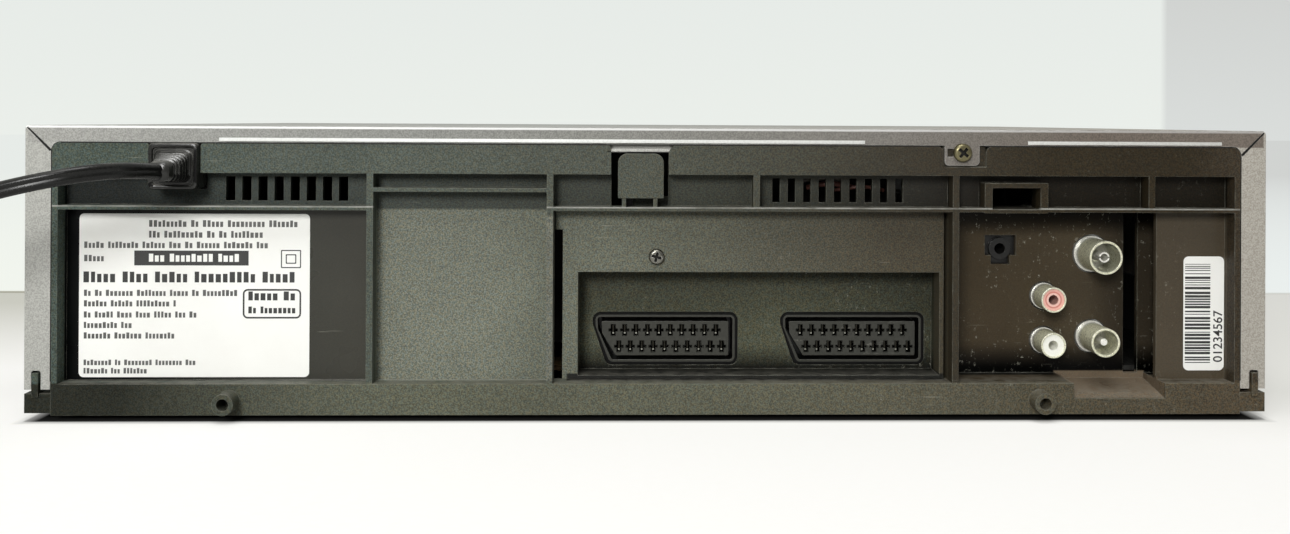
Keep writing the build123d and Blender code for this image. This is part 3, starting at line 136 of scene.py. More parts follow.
class Graph:
    # a node tree, with short ways to join its values

    def __init__(self, owner, clear=False, coords="Object"):
        owner.use_nodes = True
        self.owner, self.tree = owner, owner.node_tree
        self.shader = self.tree.nodes.get("Principled BSDF")
        if clear:
            self.tree.nodes.clear()
        self.place = self.add("TexCoord").outputs[coords]

    def put(self, name, value, node=None):
        socket = (node or self.shader).inputs[name]
        if isinstance(value, bpy.types.NodeSocket):
            self.tree.links.new(value, socket)
        elif value is not None:
            socket.default_value = (*value, 1.0) if socket.type == "RGBA" else value

    def add(self, kind, inputs=None, **settings):
        node = self.tree.nodes.new("ShaderNode" + kind)
        for name, value in settings.items():
            setattr(node, name, value)
        for name, value in (inputs or {}).items():
            self.put(name, value, node)
        return node

    def axes(self):
        return self.add("SeparateXYZ", {"Vector": self.place}).outputs

    def normal(self):
        return self.add("NewGeometry").outputs["Normal"]

    def math(self, kind, a, b=0.0, clamp=False):
        return self.add("Math", {0: a, 1: b}, operation=kind, use_clamp=clamp).outputs[0]

    def times(self, value, *others):
        for other in others:
            value = self.math("MULTIPLY", value, other)
        return value

    def most(self, value, *others):
        for other in others:
            value = self.math("MAXIMUM", value, other)
        return value

    def less(self, value, taken):
        return self.math("SUBTRACT", value, taken)

    def gap(self, value, centre=0.0):
        return self.math("ABSOLUTE", self.less(value, centre) if centre else value)

    def spread(self, value, fromLow, fromHigh, toLow=0.0, toHigh=1.0):
        ends = {"From Min": fromLow, "From Max": fromHigh, "To Min": toLow, "To Max": toHigh}
        return self.add("MapRange", {"Value": value, **ends}, clamp=True).outputs[0]

    def near(self, value, centre, far, close):
        # 0 when further than far from the centre, 1 when closer than close
        return self.spread(self.gap(value, centre), far, close)

    def blend(self, share, low, high, mode="MIX"):
        node = self.add("Mix", {0: share, 6: low, 7: high}, data_type="RGBA", blend_type=mode)
        return node.outputs[2]

    def tinted(self, colour, by):
        return self.blend(1.0, colour, by, "MULTIPLY")

    def grey(self, value):
        return self.add("CombineXYZ", {"X": value, "Y": value, "Z": value}).outputs["Vector"]

    def mapped(self, **settings):
        return self.add("Mapping", {"Vector": self.place, **settings}).outputs["Vector"]

    def noise(self, scale, detail=3.0, rough=0.6, shift=0.0, at=None):
        at = at or self.place
        if shift:
            at = self.add("VectorMath", {0: at, 1: (shift, shift, shift)}, operation="ADD").outputs[0]
        look = {"Vector": at, "Scale": scale, "Detail": detail, "Roughness": rough}
        return self.add("TexNoise", look).outputs["Fac"]

    def ramp(self, value, stops):
        low, high = stops[0][0], stops[-1][0]
        node = self.add("ValToRGB", {"Fac": self.spread(value, low, high)})
        elements = node.color_ramp.elements
        elements[0].color, elements[-1].color = (*stops[0][1], 1.0), (*stops[-1][1], 1.0)
        for at, colour in stops[1:-1]:
            elements.new((at - low) / (high - low)).color = (*colour, 1.0)
        return node.outputs["Color"]

    def softNormal(self, radius):
        return self.add("Bevel", {"Radius": radius}, samples=4).outputs["Normal"]

    def edgeWearAndShine(self, width, shift, share):
        # patchy edge wear and painted edge highlight where the rounded normal leaves the face's own
        meet = self.add("VectorMath", {0: self.softNormal(width), 1: self.normal()}, operation="DOT_PRODUCT")
        patches = self.spread(self.noise(260.0, 3.0, 0.6, shift), 0.3, 0.62)
        return self.times(self.spread(meet.outputs["Value"], 0.985, 0.8), patches, share)

    def dust(self, scale, shift, full):
        up = self.add("SeparateXYZ", {"Vector": self.normal()}).outputs["Z"]
        return self.times(self.spread(up, 0.3, 1.0), self.spread(self.noise(scale, 5.0, 0.7, shift), 0.35, full))

    def relief(self, height, strength, distance, normal=None):
        bump = {"Height": height, "Strength": strength, "Distance": distance, "Normal": normal}
        self.put("Normal", self.add("Bump", bump).outputs["Normal"])


def startFinish(name):
    return Graph(bpy.data.materials.new(name))


def shadeSlots(g, s, colour):
    # the shade in and round the cross-shaped contact slots, two rows in each socket
    x, y, z = g.axes()
    x = g.math("ADD", x, g.times(g.math("LESS_THAN", x, s["between"]), s["apart"]))
    cut = 0.0
    for low, shift, last in s["rows"]:
        count = g.math("ADD", g.math("DIVIDE", g.less(s["first"], x), s["pitch"]), shift)
        off, rise = g.gap(g.math("FRACT", count), 0.5), g.gap(z, low)
        tall, wide = (g.times(g.spread(off, halfWide, halfWide - 0.03), g.spread(rise, halfHigh, halfHigh - 0.0001))
                      for halfWide, halfHigh in (s["stem"], s["arm"]))
        cross = g.times(g.most(tall, wide), g.spread(count, 0.0, 0.02), g.spread(count, last, last - 0.02))
        colour = g.blend(cross, colour, s["shade"])
        cut = g.most(cross, cut)
    return colour, cut


def flangeShadeAndHighlight(g, r, colour, grain):
    # painted shade along the rear flange's upper run, darker towards one side, with a painted highlight on its
    # rolled top edge
    x, y, z = g.axes()
    tab = g.near(x, *r["tab"])
    back = g.times(g.spread(y, 0.1383, 0.1388), g.most(tab, g.spread(z, 0.0884, 0.0887)),
                   g.near(x, 0.0, 0.1995, 0.199))
    flake = g.grey(g.spread(grain, 0.34, 0.66, 0.8, 1.24))
    colour = g.blend(back, colour, g.tinted(g.ramp(x, r["tints"]), flake))
    beadHighlight = g.times(g.spread(z, 0.0931, 0.0934), g.spread(z, 0.094, 0.0938), g.spread(y, 0.1375, 0.1382),
                   g.spread(x, -0.16, 0.1, 0.3, 1.0))
    return g.blend(beadHighlight, colour, r["beadHighlight"])


def makeFinish(name, look):
    g = startFinish(name)
    x, y, z = g.axes()
    seed, patch = look["seed"], look.get("patch", 22.0)
    tint, second = look["tints"]
    share, scale = look["grain"]
    colour = g.blend(g.spread(g.noise(patch, 4.0, 0.6, seed), 0.35, 0.68), tint, second)
    if "aside" in look:
        # painted shade: the tint turns darker and warmer from one side of the case to the other
        full, side = look["aside"]
        colour = g.blend(g.spread(x, 0.03, -0.17, 0.0, full), colour, side)
    fine = g.mapped(Scale=look["stretch"]) if "stretch" in look else None
    grain = g.noise(scale, 2.0, 0.5, seed + 0.3, fine)
    dark = tuple(c * (1 - share) for c in tint)
    light = tuple(min(1.0, c * (1 + share) + 0.03 * share) for c in tint)
    colour = g.blend(0.5, colour, g.blend(g.spread(grain, 0.36, 0.64), dark, light))
    if "behind" in look:
        # darker behind an open face, where hardly any light reaches
        near, far, shade = look["behind"]
        colour = g.blend(g.spread(y, near, far), colour, shade)
    # painted glints: pale bands across the contacts at the given heights
    for low in look.get("glintTips", ()):
        colour = g.blend(g.near(z, low, 0.0005, 0.0004), colour, look["glintTint"])
    for atX, atZ, radius, inner in look.get("within", ()):
        # tints inside a tube that runs along Y: painted shade, with the darker insulator, in its bore; painted
        # highlight rings; the pale pin
        flat = g.mapped(Location=(-atX, 0, -atZ), Scale=(1, 0, 1))
        gap = g.add("VectorMath", {0: flat}, operation="LENGTH").outputs["Value"]
        colour = g.blend(g.spread(gap, radius, radius - 0.0002), colour, inner)
    specular = look.get("specular", 0.5)
    if "slots" in look:
        colour, cut = shadeSlots(g, look["slots"], colour)
        specular = g.spread(cut, 0.0, 1.0, specular, 0.0)
    if "flange" in look:
        colour = flangeShadeAndHighlight(g, look["flange"], colour, grain)
    if "scuff" in look:
        full, pale = look["scuff"]
        lines = g.noise(1.0, 4.0, 0.7, seed + 4.1, g.mapped(Scale=(60, 60, 700)))
        specks = g.noise(420.0, 3.0, 0.75, seed + 2.2)
        colour = g.blend(g.times(g.spread(lines, 0.6, 0.72), g.spread(specks, 0.5, 0.66), full), colour, pale)
    if "dust" in look:
        full, pale = look["dust"]
        colour = g.blend(g.times(g.dust(160.0, seed, 0.65), full), colour, pale)
    # pale edges: partly real edge wear, partly painted highlight on rims that catch the light
    if "edge" in look:
        full, pale, width = look["edge"]
        colour = g.blend(g.edgeWearAndShine(width, seed + 3.0, full), colour, pale)
    if "base" in look:
        # a last tint over the wear where the piece meets what carries it: painted shade on the sockets, a pale
        # collar on the barrels
        near, far, full, shade = look["base"]
        colour = g.blend(g.spread(y, near, far, 0.0, full), colour, shade)
    g.put("Base Color", colour)
    g.put("Roughness", g.spread(g.noise(patch * 2.3, 3.0, 0.6, seed + 1.7), 0.3, 0.7, *look["rough"]))
    g.put("Metallic", look.get("metal", 0.0))
    g.put("Specular IOR Level", specular)
    if "coat" in look:
        g.put("Coat Weight", look["coat"])
        g.put("Coat Roughness", 0.12)
    normal = g.softNormal(look["round"]) if "round" in look else None
    if "bump" in look:
        g.relief(grain, look.get("bumpShare", 0.6), look["bump"], normal)
    else:
        g.put("Normal", normal)
    return g.owner


made = {}
dressed = []


def dressNodes(members, finish):
    for member in members.split():
        obj = nodes[member]
        if not obj.material_slots:
            obj.data.materials.append(finish)
        for holder in obj.material_slots:
            holder.material = finish
        dressed.append(member)


def addFinish(name, members, look):
    made[name] = makeFinish(name, look)
    dressNodes(members, made[name])


# painted shade: its aside tint darkens the case towards one side
addFinish("coverPaint", "top_cover", dict(
    tints=((0.412, 0.412, 0.382), (0.396, 0.394, 0.364)), patch=9.0, aside=(0.9, (0.394, 0.338, 0.27)),
    grain=(0.36, 2300.0), rough=(0.52, 0.6), specular=0.12, bump=0.00005, bumpShare=0.5, round=0.0004,
    edge=(0.7, (0.74, 0.74, 0.71), 0.0005), dust=(0.12, (0.55, 0.54, 0.5)),
    # painted shade along the flange's upper run and a painted highlight on its rolled edge
    flange=dict(
        tab=(-0.09995, 0.0066, 0.006),
        tints=[
            (-0.19, (0.165, 0.14, 0.118)), (-0.144, (0.145, 0.122, 0.102)), (-0.08, (0.19, 0.178, 0.16)),
            (0.03, (0.24, 0.24, 0.22)), (0.1, (0.265, 0.268, 0.25)), (0.19, (0.35, 0.348, 0.325))],
        beadHighlight=(0.95, 0.95, 0.93)),
    seed=1.0))
# painted highlight: the joggles' pale paint stands for the light caught along their bend, darker towards one side
addFinish("joggleHighlight", "", dict(
    tints=((0.72, 0.73, 0.7), (0.6, 0.61, 0.58)), patch=60.0, aside=(1.1, (0.34, 0.325, 0.295)),
    grain=(0.12, 1500.0), rough=(0.35, 0.5), bump=0.00003, seed=1.4))


def makePanelFinish(look, spans):
    # spark-textured moulding, smoother where labels and jacks sit; much of its tone by place is painted light and
    # shade: darker bays, recesses and one side, a painted sheen on the bottom bar, a paler sill and rib
    # spans: where along x, y or z each of its tones begins and is full
    g = startFinish("panelPlastic")
    x, y, z = g.axes()
    inside = g.spread(y, *spans["recess"])
    deep = g.spread(y, *spans["deep"])
    strip = g.spread(z, *spans["strip"])
    bay = g.spread(x, *spans["bay"])
    smooth = g.times(g.math("ADD", g.spread(x, *spans["label"]), bay, True), g.less(1.0, strip), inside)
    lower = g.times(g.spread(z, *spans["lowerHigh"]), g.spread(y, *spans["lowerFace"]))
    # painted light and shade along the bars: darker and browner towards one side, with a painted sheen along the
    # middle of the bottom bar, dark at one end
    base = g.blend(lower, g.ramp(x, look["bars"]), g.ramp(x, look["lower"]))
    sill = g.times(*[g.spread(axis, *span) for axis, span in zip((x, x, y, z), spans["sill"])])
    # painted light and shade in the recesses: the deep pocket paler low down and darker to one side, the floors
    # darker towards one side, the strips under the ledges, the label bay and the foot of the pocket near black
    pocket = g.blend(g.spread(z, *spans["pocketLow"]), look["pocket"], look["pocketLow"])
    pocket = g.blend(g.spread(x, *spans["pocketSide"]), pocket, look["pocketSide"])
    floor = g.blend(deep, g.ramp(x, look["floors"]), pocket)
    floor = g.blend(strip, floor, g.ramp(x, look["strips"]))
    floor = g.blend(smooth, floor, g.ramp(x, look["smooth"]))
    lip = g.times(g.spread(z, *spans["lipHigh"]), g.near(x, *spans["lipWide"]))
    floor = g.blend(g.most(g.times(g.spread(z, *spans["foot"]), deep), lip), floor, look["foot"])
    # painted shade: the jack bay is dimmer under its ledge, along its foot and in its far corner
    dim = g.times(*[g.spread(axis, *span) for axis, span in zip((z, z, x), spans["dim"])])
    dim = g.most(dim, g.less(1.0, g.times(bay, deep)))
    base = g.blend(inside, base, g.tinted(floor, g.grey(dim)))
    # painted light: the sloping sill and the rib are paler
    base = g.blend(sill, base, look["sill"])
    rib = g.times(g.near(x, *spans["ribWide"]), *[g.spread(z, *span) for span in spans["ribEnds"]])
    base = g.blend(rib, base, look["rib"])
    clouds = g.spread(g.noise(22.0, 4.0), 0.3, 0.7)
    base = g.tinted(base, g.blend(clouds, (0.86, 0.86, 0.86), (1.12, 1.12, 1.12)))
    grain = g.noise(look["grainScale"], 2.0, 0.5, 0.3)
    tint = g.blend(g.spread(g.noise(1100.0, 1.0, 0.5, 5.0), 0.38, 0.62), (1.1, 1.0, 0.86), (0.88, 1.0, 1.12))
    fleck = g.tinted(g.blend(g.spread(grain, 0.34, 0.66), (0.45, 0.45, 0.45), (1.75, 1.75, 1.7)), tint)
    base = g.blend(g.spread(smooth, 0.0, 1.0, look["grain"], 0.15), base, g.tinted(base, fleck))
    # pale flecks, short scuffs and a few long scratches, mostly on the jacks' side
    marks = g.times(
        g.spread(g.noise(680.0, 3.0, 0.8, 2.2), 0.59, 0.68),
        g.spread(g.noise(1.0, 4.0, 0.7, 4.1, g.mapped(Scale=(620, 80, 150))), 0.48, 0.6),
        g.spread(x, *spans["marks"]), g.spread(g.times(deep, inside), 0.0, 1.0, 0.42, 1.0),
        g.spread(g.noise(42.0, 1.0, 0.5, 6.0), 0.46, 0.56, 0.12, 1.0), g.spread(strip, 0.0, 1.0, 1.0, 0.4))
    tilted = g.mapped(Rotation=(0, 0.35, 0), Scale=(45, 1, 1500))
    scratch = g.times(g.spread(g.noise(1.0, 2.0, 0.5, 9.0, tilted), 0.7, 0.76),
                      g.spread(g.noise(30.0, 2.0, 0.5, 12.0), 0.56, 0.66))
    base = g.blend(g.times(g.most(marks, scratch), look["scuff"]), base, look["scuffColour"])
    # pale edges: partly real edge wear, partly painted highlight
    base = g.blend(g.edgeWearAndShine(0.0004, 3.0, look["edge"]), base, look["edgeColour"])
    # painted highlight where the long ledge's upper edge catches the light
    glint = g.times(g.near(z, *spans["glintHigh"]), g.spread(y, *spans["glintFace"]),
                    g.spread(g.noise(70.0, 4.0, 0.7, 8.0), 0.36, 0.6, 0.25, 0.95))
    base = g.blend(glint, base, look["glint"])
    lie = g.times(g.dust(240.0, 0.0, 0.6), g.spread(y, *spans["dust"]), look["dust"])
    g.put("Base Color", g.blend(lie, base, look["dustColour"]))
    rough = g.spread(g.noise(40.0, 3.0, 0.6, 1.7), 0.3, 0.7, *look["roughness"])
    g.put("Roughness", g.less(rough, g.times(smooth, 0.26)))
    g.put("Specular IOR Level", g.times(
        g.spread(x, *spans["labelShine"], look["specular"], 0.1), g.spread(deep, 0.0, 1.0, 1.0, 0.35),
        g.spread(x, *spans["bayShine"])))
    g.relief(grain, g.spread(smooth, 1.0, 0.0, 0.05, 0.8), 0.00014, g.softNormal(0.00035))
    return g.owner


dressNodes("rear_panel socket_plate", makePanelFinish(dict(
    bars=[
        (-0.19, (0.038, 0.029, 0.019)), (-0.175, (0.023, 0.017, 0.009)), (-0.09, (0.026, 0.02, 0.011)),
        (0.02, (0.056, 0.061, 0.047)), (0.19, (0.061, 0.077, 0.065))],
    lower=[
        (-0.19, (0.07, 0.055, 0.036)), (-0.02, (0.088, 0.088, 0.062)), (0.1, (0.082, 0.086, 0.061)),
        (0.17, (0.018, 0.019, 0.014))],
    floors=[(-0.08, (0.05, 0.042, 0.027)), (0.03, (0.12, 0.126, 0.098)), (0.06, (0.139, 0.146, 0.117))],
    strips=[
        (-0.1, (0.008, 0.006, 0.003)), (-0.02, (0.03, 0.032, 0.023)), (0.13, (0.034, 0.042, 0.036)),
        (0.17, (0.014, 0.016, 0.015))],
    smooth=[
        (-0.17, (0.07, 0.056, 0.038)), (-0.11, (0.053, 0.04, 0.024)), (0.12, (0.034, 0.034, 0.027)),
        (0.17, (0.0015, 0.002, 0.002))],
    pocket=(0.047, 0.048, 0.034), pocketLow=(0.072, 0.074, 0.051), pocketSide=(0.008, 0.008, 0.005),
    foot=(0.006, 0.006, 0.0045), rib=(0.12, 0.123, 0.1), sill=(0.15, 0.116, 0.08), grainScale=2300.0, grain=0.75,
    roughness=(0.5, 0.62), specular=0.26, scuff=0.7, scuffColour=(0.42, 0.41, 0.34), edge=0.75,
    edgeColour=(0.24, 0.24, 0.2), dust=0.3, dustColour=(0.26, 0.25, 0.21), glint=(0.33, 0.33, 0.3)), dict(
    recess=(0.1345, 0.1338), deep=(0.1262, 0.1252), strip=(0.0668, 0.0676), bay=(-0.0992, -0.0996),
    label=(0.0925, 0.0929), lowerHigh=(0.0122, 0.0116), lowerFace=(0.1345, 0.1375),
    sill=[(-0.136, -0.1366), (-0.1675, -0.1669), (0.1387, 0.138), (0.0125, 0.012)],
    pocketLow=(0.044, 0.028), pocketSide=(-0.055, -0.095, 0.0, 0.52),
    lipHigh=(0.0138, 0.0134), lipWide=(-0.034, 0.0625, 0.062), foot=(0.021, 0.0135),
    dim=[(0.0655, 0.0585, 0.12, 1.0), (0.0135, 0.0225, 0.1, 1.0), (-0.16, -0.148, 0.45, 1.0)],
    ribWide=(0.03355, 0.0013, 0.001), ribEnds=[(0.066, 0.065), (0.012, 0.013)], marks=(0.04, -0.1, 0.15, 1.0),
    glintHigh=(0.06835, 0.00034, 0.00018), glintFace=(0.1365, 0.1385), dust=(0.126, 0.133, 0.25, 1.0),
    labelShine=(0.12, 0.17), bayShine=(-0.1, -0.13, 1.0, 0.55))))
print("panel finishes made")

# painted shade at the sockets' back and in their contact slots
addFinish("socketPlastic", "scart_socket_left scart_socket_right", dict(
    tints=((0.03, 0.03, 0.023), (0.024, 0.024, 0.018)), grain=(0.2, 900.0), rough=(0.26, 0.38), specular=0.4,
    bump=0.00003, round=0.0003, edge=(0.6, (0.22, 0.22, 0.19), 0.0003), scuff=(0.5, (0.32, 0.31, 0.27)),
    behind=(0.12215, 0.1219, (0.0015, 0.0015, 0.0012)), base=(0.12215, 0.1219, 0.7, (0.0015, 0.0015, 0.0012)),
    slots=dict(
        first=0.01325, pitch=0.00385, between=-0.04, apart=0.0632,
        rows=[(0.02595, 0.5, 10.0), (0.02045, 0.0, 10.0)], stem=(0.235, 0.00205), arm=(0.43, 0.00058),
        shade=(0.0008, 0.0008, 0.0007)),
    seed=2.0))
addFinish("jackPlastic", "jack_block", dict(
    tints=((0.0075, 0.0072, 0.0065), (0.004, 0.004, 0.004)), grain=(0.2, 900.0), rough=(0.3, 0.42), specular=0.3,
    bump=0.00003, round=0.0003, edge=(0.5, (0.05, 0.048, 0.042), 0.0003), seed=2.5))
addFinish("bezelPlastic", "front_panel cassette_door", dict(
    tints=((0.05, 0.051, 0.054), (0.044, 0.045, 0.048)), grain=(0.22, 1200.0), rough=(0.34, 0.46), bump=0.00005,
    round=0.0005, edge=(0.35, (0.16, 0.16, 0.165), 0.0005), dust=(0.2, (0.35, 0.34, 0.31)), seed=3.0))
addFinish("trayPlastic", "chassis_tray", dict(
    tints=((0.034, 0.034, 0.034), (0.028, 0.028, 0.028)), grain=(0.25, 1100.0), rough=(0.5, 0.65), bump=0.00006,
    round=0.0004, edge=(0.35, (0.12, 0.12, 0.115), 0.0005), dust=(0.5, (0.28, 0.27, 0.24)), seed=4.0))
addFinish("keyPlastic", "eject_button forward_button play_button "
          "power_button rewind_button stop_button", dict(
    tints=((0.085, 0.087, 0.094), (0.075, 0.077, 0.083)), grain=(0.15, 1600.0), rough=(0.26, 0.38), bump=0.00002,
    edge=(0.5, (0.24, 0.24, 0.25), 0.0004), seed=5.0))
addFinish("recordRed", "record_button", dict(
    tints=((0.42, 0.03, 0.028), (0.35, 0.024, 0.022)), grain=(0.12, 1600.0), rough=(0.26, 0.38), bump=0.00002,
    edge=(0.4, (0.62, 0.16, 0.14), 0.0004), seed=5.5))
addFinish("displayGlass", "display_module", dict(
    tints=((0.018, 0.03, 0.03), (0.012, 0.022, 0.022)), patch=60.0, grain=(0.1, 1400.0), rough=(0.05, 0.12),
    coat=0.6, seed=6.0))
addFinish("zincSteel", "bottom_cover capstan_motor cassette_holder deck_plate housing_left "
          "housing_right loading_motor pinch_arm tension_arm tuner_module", dict(
    tints=((0.56, 0.57, 0.56), (0.44, 0.45, 0.45)), patch=130.0, grain=(0.12, 700.0), rough=(0.3, 0.48), metal=1.0,
    bump=0.00002, edge=(0.5, (0.75, 0.75, 0.74), 0.0005), dust=(0.35, (0.3, 0.29, 0.26)), seed=7.0))
addFinish("turnedSteel", "capstan door_spring tape_heads", dict(
    tints=((0.66, 0.66, 0.66), (0.58, 0.58, 0.59)), patch=90.0, grain=(0.15, 60.0), stretch=(1, 1, 60),
    rough=(0.16, 0.28), metal=1.0, bump=0.00001, edge=(0.3, (0.8, 0.8, 0.8), 0.0005), seed=8.0))
addFinish("yellowZinc", "cover_screw", dict(
    tints=((0.17, 0.15, 0.08), (0.085, 0.075, 0.042)), patch=300.0, grain=(0.2, 900.0), rough=(0.28, 0.44),
    metal=0.9, bump=0.00002, edge=(0.6, (0.7, 0.64, 0.42), 0.0003), seed=9.0))
addFinish("drumMetal", "drum_lower drum_upper", dict(
    tints=((0.74, 0.74, 0.75), (0.68, 0.68, 0.69)), patch=40.0, grain=(0.1, 40.0), stretch=(1, 1, 120),
    rough=(0.08, 0.16), metal=1.0, bump=0.000006, edge=(0.3, (0.86, 0.86, 0.86), 0.0005), seed=10.0))
addFinish("castMetal", "heat_sink", dict(
    tints=((0.42, 0.43, 0.43), (0.36, 0.37, 0.37)), patch=70.0, grain=(0.25, 1000.0), rough=(0.42, 0.58), metal=1.0,
    bump=0.00005, edge=(0.5, (0.66, 0.66, 0.66), 0.0005), dust=(0.3, (0.3, 0.29, 0.26)), seed=11.0))
# painted shade: the contacts are near black, as they sit deep in their slots, and painted glints cross them at the
# tip heights
addFinish("contactMetal", "scart_contacts", dict(
    tints=((0.03, 0.028, 0.022), (0.012, 0.011, 0.009)), patch=500.0, grain=(0.25, 1500.0), rough=(0.24, 0.4),
    metal=1.0, glintTips=[0.019, 0.0245], glintTint=(0.4, 0.4, 0.35), seed=12.0))
addFinish("plugBrass", "", dict(
    tints=((0.62, 0.49, 0.26), (0.52, 0.41, 0.21)), patch=300.0, grain=(0.15, 1500.0), rough=(0.2, 0.34), metal=1.0,
    seed=12.5))
addFinish("gearPlastic", "cam_gear clutch_gear holder_carriage", dict(
    tints=((0.68, 0.67, 0.61), (0.62, 0.61, 0.55)), patch=50.0, grain=(0.08, 1400.0), rough=(0.34, 0.48),
    bump=0.00003, edge=(0.3, (0.8, 0.79, 0.74), 0.0005), dust=(0.25, (0.4, 0.38, 0.33)), seed=13.0))
addFinish("armPlastic", "guide_left guide_right supply_reel take_up_reel", dict(
    tints=((0.11, 0.11, 0.12), (0.09, 0.09, 0.1)), grain=(0.2, 1300.0), rough=(0.34, 0.5), bump=0.00003,
    edge=(0.4, (0.26, 0.26, 0.27), 0.0005), seed=14.0))
addFinish("capacitorSleeve", "capacitors", dict(
    tints=((0.03, 0.036, 0.075), (0.024, 0.03, 0.062)), patch=60.0, grain=(0.12, 1400.0), rough=(0.18, 0.3),
    coat=0.4, edge=(0.5, (0.5, 0.5, 0.52), 0.0006), seed=15.0))
# the insert's rings: a darker outer ring, a painted highlight ring and painted shade in the hole
addFinish("redPlastic", "phono_insert_red", dict(
    tints=((0.82, 0.46, 0.39), (0.78, 0.4, 0.33)), patch=200.0, grain=(0.08, 1400.0), rough=(0.24, 0.36),
    edge=(0.5, (0.8, 0.42, 0.38), 0.0004),
    within=[
        (-0.13265, 0.0377, 0.0029, (0.62, 0.22, 0.18)), (-0.13265, 0.0377, 0.0024, (0.84, 0.54, 0.46)),
        (-0.13265, 0.0377, 0.0017, (0.16, 0.04, 0.03))],
    seed=16.0))
addFinish("whitePlastic", "phono_insert_white", dict(
    tints=((0.94, 0.94, 0.86), (0.88, 0.87, 0.78)), patch=200.0, grain=(0.05, 1400.0), rough=(0.26, 0.38),
    edge=(0.3, (0.88, 0.87, 0.82), 0.0004), seed=17.0))
addFinish("rubberBlack", "drive_belt feet pinch_roller strain_relief", dict(
    tints=((0.018, 0.018, 0.017), (0.013, 0.013, 0.012)), grain=(0.3, 900.0), rough=(0.55, 0.72), specular=0.4,
    bump=0.00006, edge=(0.3, (0.13, 0.13, 0.12), 0.0005), dust=(0.55, (0.26, 0.25, 0.22)), seed=18.0))
addFinish("cordVinyl", "cord_coil mains_cord", dict(
    tints=((0.005, 0.005, 0.0045), (0.004, 0.004, 0.0035)), patch=35.0, grain=(0.2, 1100.0), rough=(0.22, 0.32),
    specular=0.24, bump=0.00002, dust=(0.2, (0.2, 0.19, 0.17)), seed=19.0))
# its pale edges are mostly painted highlight
addFinish("bootRubber", "", dict(
    tints=((0.013, 0.013, 0.011), (0.009, 0.009, 0.008)), grain=(0.25, 900.0), rough=(0.2, 0.32), specular=0.36,
    bump=0.00003, edge=(0.9, (0.22, 0.22, 0.2), 0.0004), dust=(0.5, (0.28, 0.27, 0.24)), seed=18.5))
# near-black finish for painted shade in the boot's grooves and round the sockets
addFinish("grooveShade", "", dict(
    tints=((0.0025, 0.0025, 0.0022), (0.0015, 0.0015, 0.0013)), patch=300.0, grain=(0.2, 1400.0), rough=(0.5, 0.7),
    specular=0.1, seed=37.0))
addFinish("glossBlack", "mains_plug", dict(
    tints=((0.022, 0.022, 0.022), (0.018, 0.018, 0.018)), grain=(0.15, 1200.0), rough=(0.22, 0.34), bump=0.00002,
    edge=(0.4, (0.11, 0.11, 0.11), 0.0006), seed=20.0))
# painted shade at the back and in the bores, with the darker insulator there, pale painted edges as highlight, and a
# pale collar at the foot
addFinish("nickelPlate", "aerial_in_socket aerial_out_socket phono_shells", dict(
    tints=((0.8, 0.79, 0.58), (0.5, 0.49, 0.34)), patch=700.0, grain=(0.3, 1700.0), rough=(0.24, 0.38), metal=0.45,
    specular=0.2, bump=0.00002, round=0.0003, edge=(1.0, (0.97, 0.96, 0.9), 0.0004),
    behind=(0.1256, 0.1236, (0.035, 0.034, 0.025)), base=(0.1256, 0.1236, 0.7, (0.92, 0.91, 0.84)),
    within=[
        (-0.14905, 0.052, 0.0049, (0.014, 0.014, 0.009)), (-0.14905, 0.024, 0.0041, (0.05, 0.049, 0.028)),
        (-0.14905, 0.052, 0.002, (0.8, 0.79, 0.72)), (-0.14905, 0.052, 0.001, (0.02, 0.02, 0.02)),
        (-0.14905, 0.024, 0.0016, (0.92, 0.91, 0.84))],
    seed=21.0))
addFinish("greyScrew", "plate_screw", dict(
    tints=((0.2, 0.195, 0.17), (0.11, 0.105, 0.09)), patch=300.0, grain=(0.12, 1000.0), rough=(0.2, 0.34),
    metal=1.0, bump=0.00001, round=0.0002, edge=(0.6, (0.85, 0.85, 0.84), 0.0003), seed=22.0))
addFinish("coilBody", "transformer", dict(
    tints=((0.25, 0.23, 0.19), (0.18, 0.17, 0.15)), patch=60.0, grain=(0.2, 50.0), stretch=(1, 1, 90),
    rough=(0.38, 0.55), metal=0.4, bump=0.00004, edge=(0.3, (0.42, 0.4, 0.36), 0.0005), seed=23.0))


def makeBoardFinish(look):
    # printed board: bare laminate with tracks below, dark parts standing above it
    g = startFinish("boardLaminate")
    x, y, z = g.axes()
    weave = g.noise(1.0, at=g.mapped(Scale=(900, 90, 900)))
    base = g.blend(g.spread(weave, 0.35, 0.65), *look["tints"])
    cells = g.add("TexVoronoi", {"Vector": g.place, "Scale": 190.0}, feature="DISTANCE_TO_EDGE")
    track = g.spread(cells.outputs["Distance"], 0.06, 0.09)
    base = g.blend(g.times(track, 0.35), base, look["track"])
    parts = g.add("TexVoronoi", {"Vector": g.place, "Scale": 90.0}).outputs["Color"]
    tone = g.blend(g.spread(parts, 0.2, 0.8), *look["parts"])
    base = g.blend(g.spread(z, look["top"], look["top"] + 0.0001), base, tone)
    # painted shade: near black where the board shows beside the aerial sockets
    g.put("Base Color", g.blend(g.spread(x, *look["blackSide"]), base, look["black"]))
    g.put("Roughness", g.spread(weave, 0.3, 0.7, 0.35, 0.55))
    g.relief(track, 0.4, 0.00005)
    return g.owner


dressNodes("front_board main_board", makeBoardFinish(dict(
    tints=((0.3, 0.19, 0.085), (0.24, 0.15, 0.065)), track=(0.1, 0.13, 0.05),
    parts=((0.03, 0.03, 0.03), (0.12, 0.115, 0.1)), black=(0.008, 0.008, 0.007), blackSide=(-0.154, -0.1545),
    top=0.0137)))


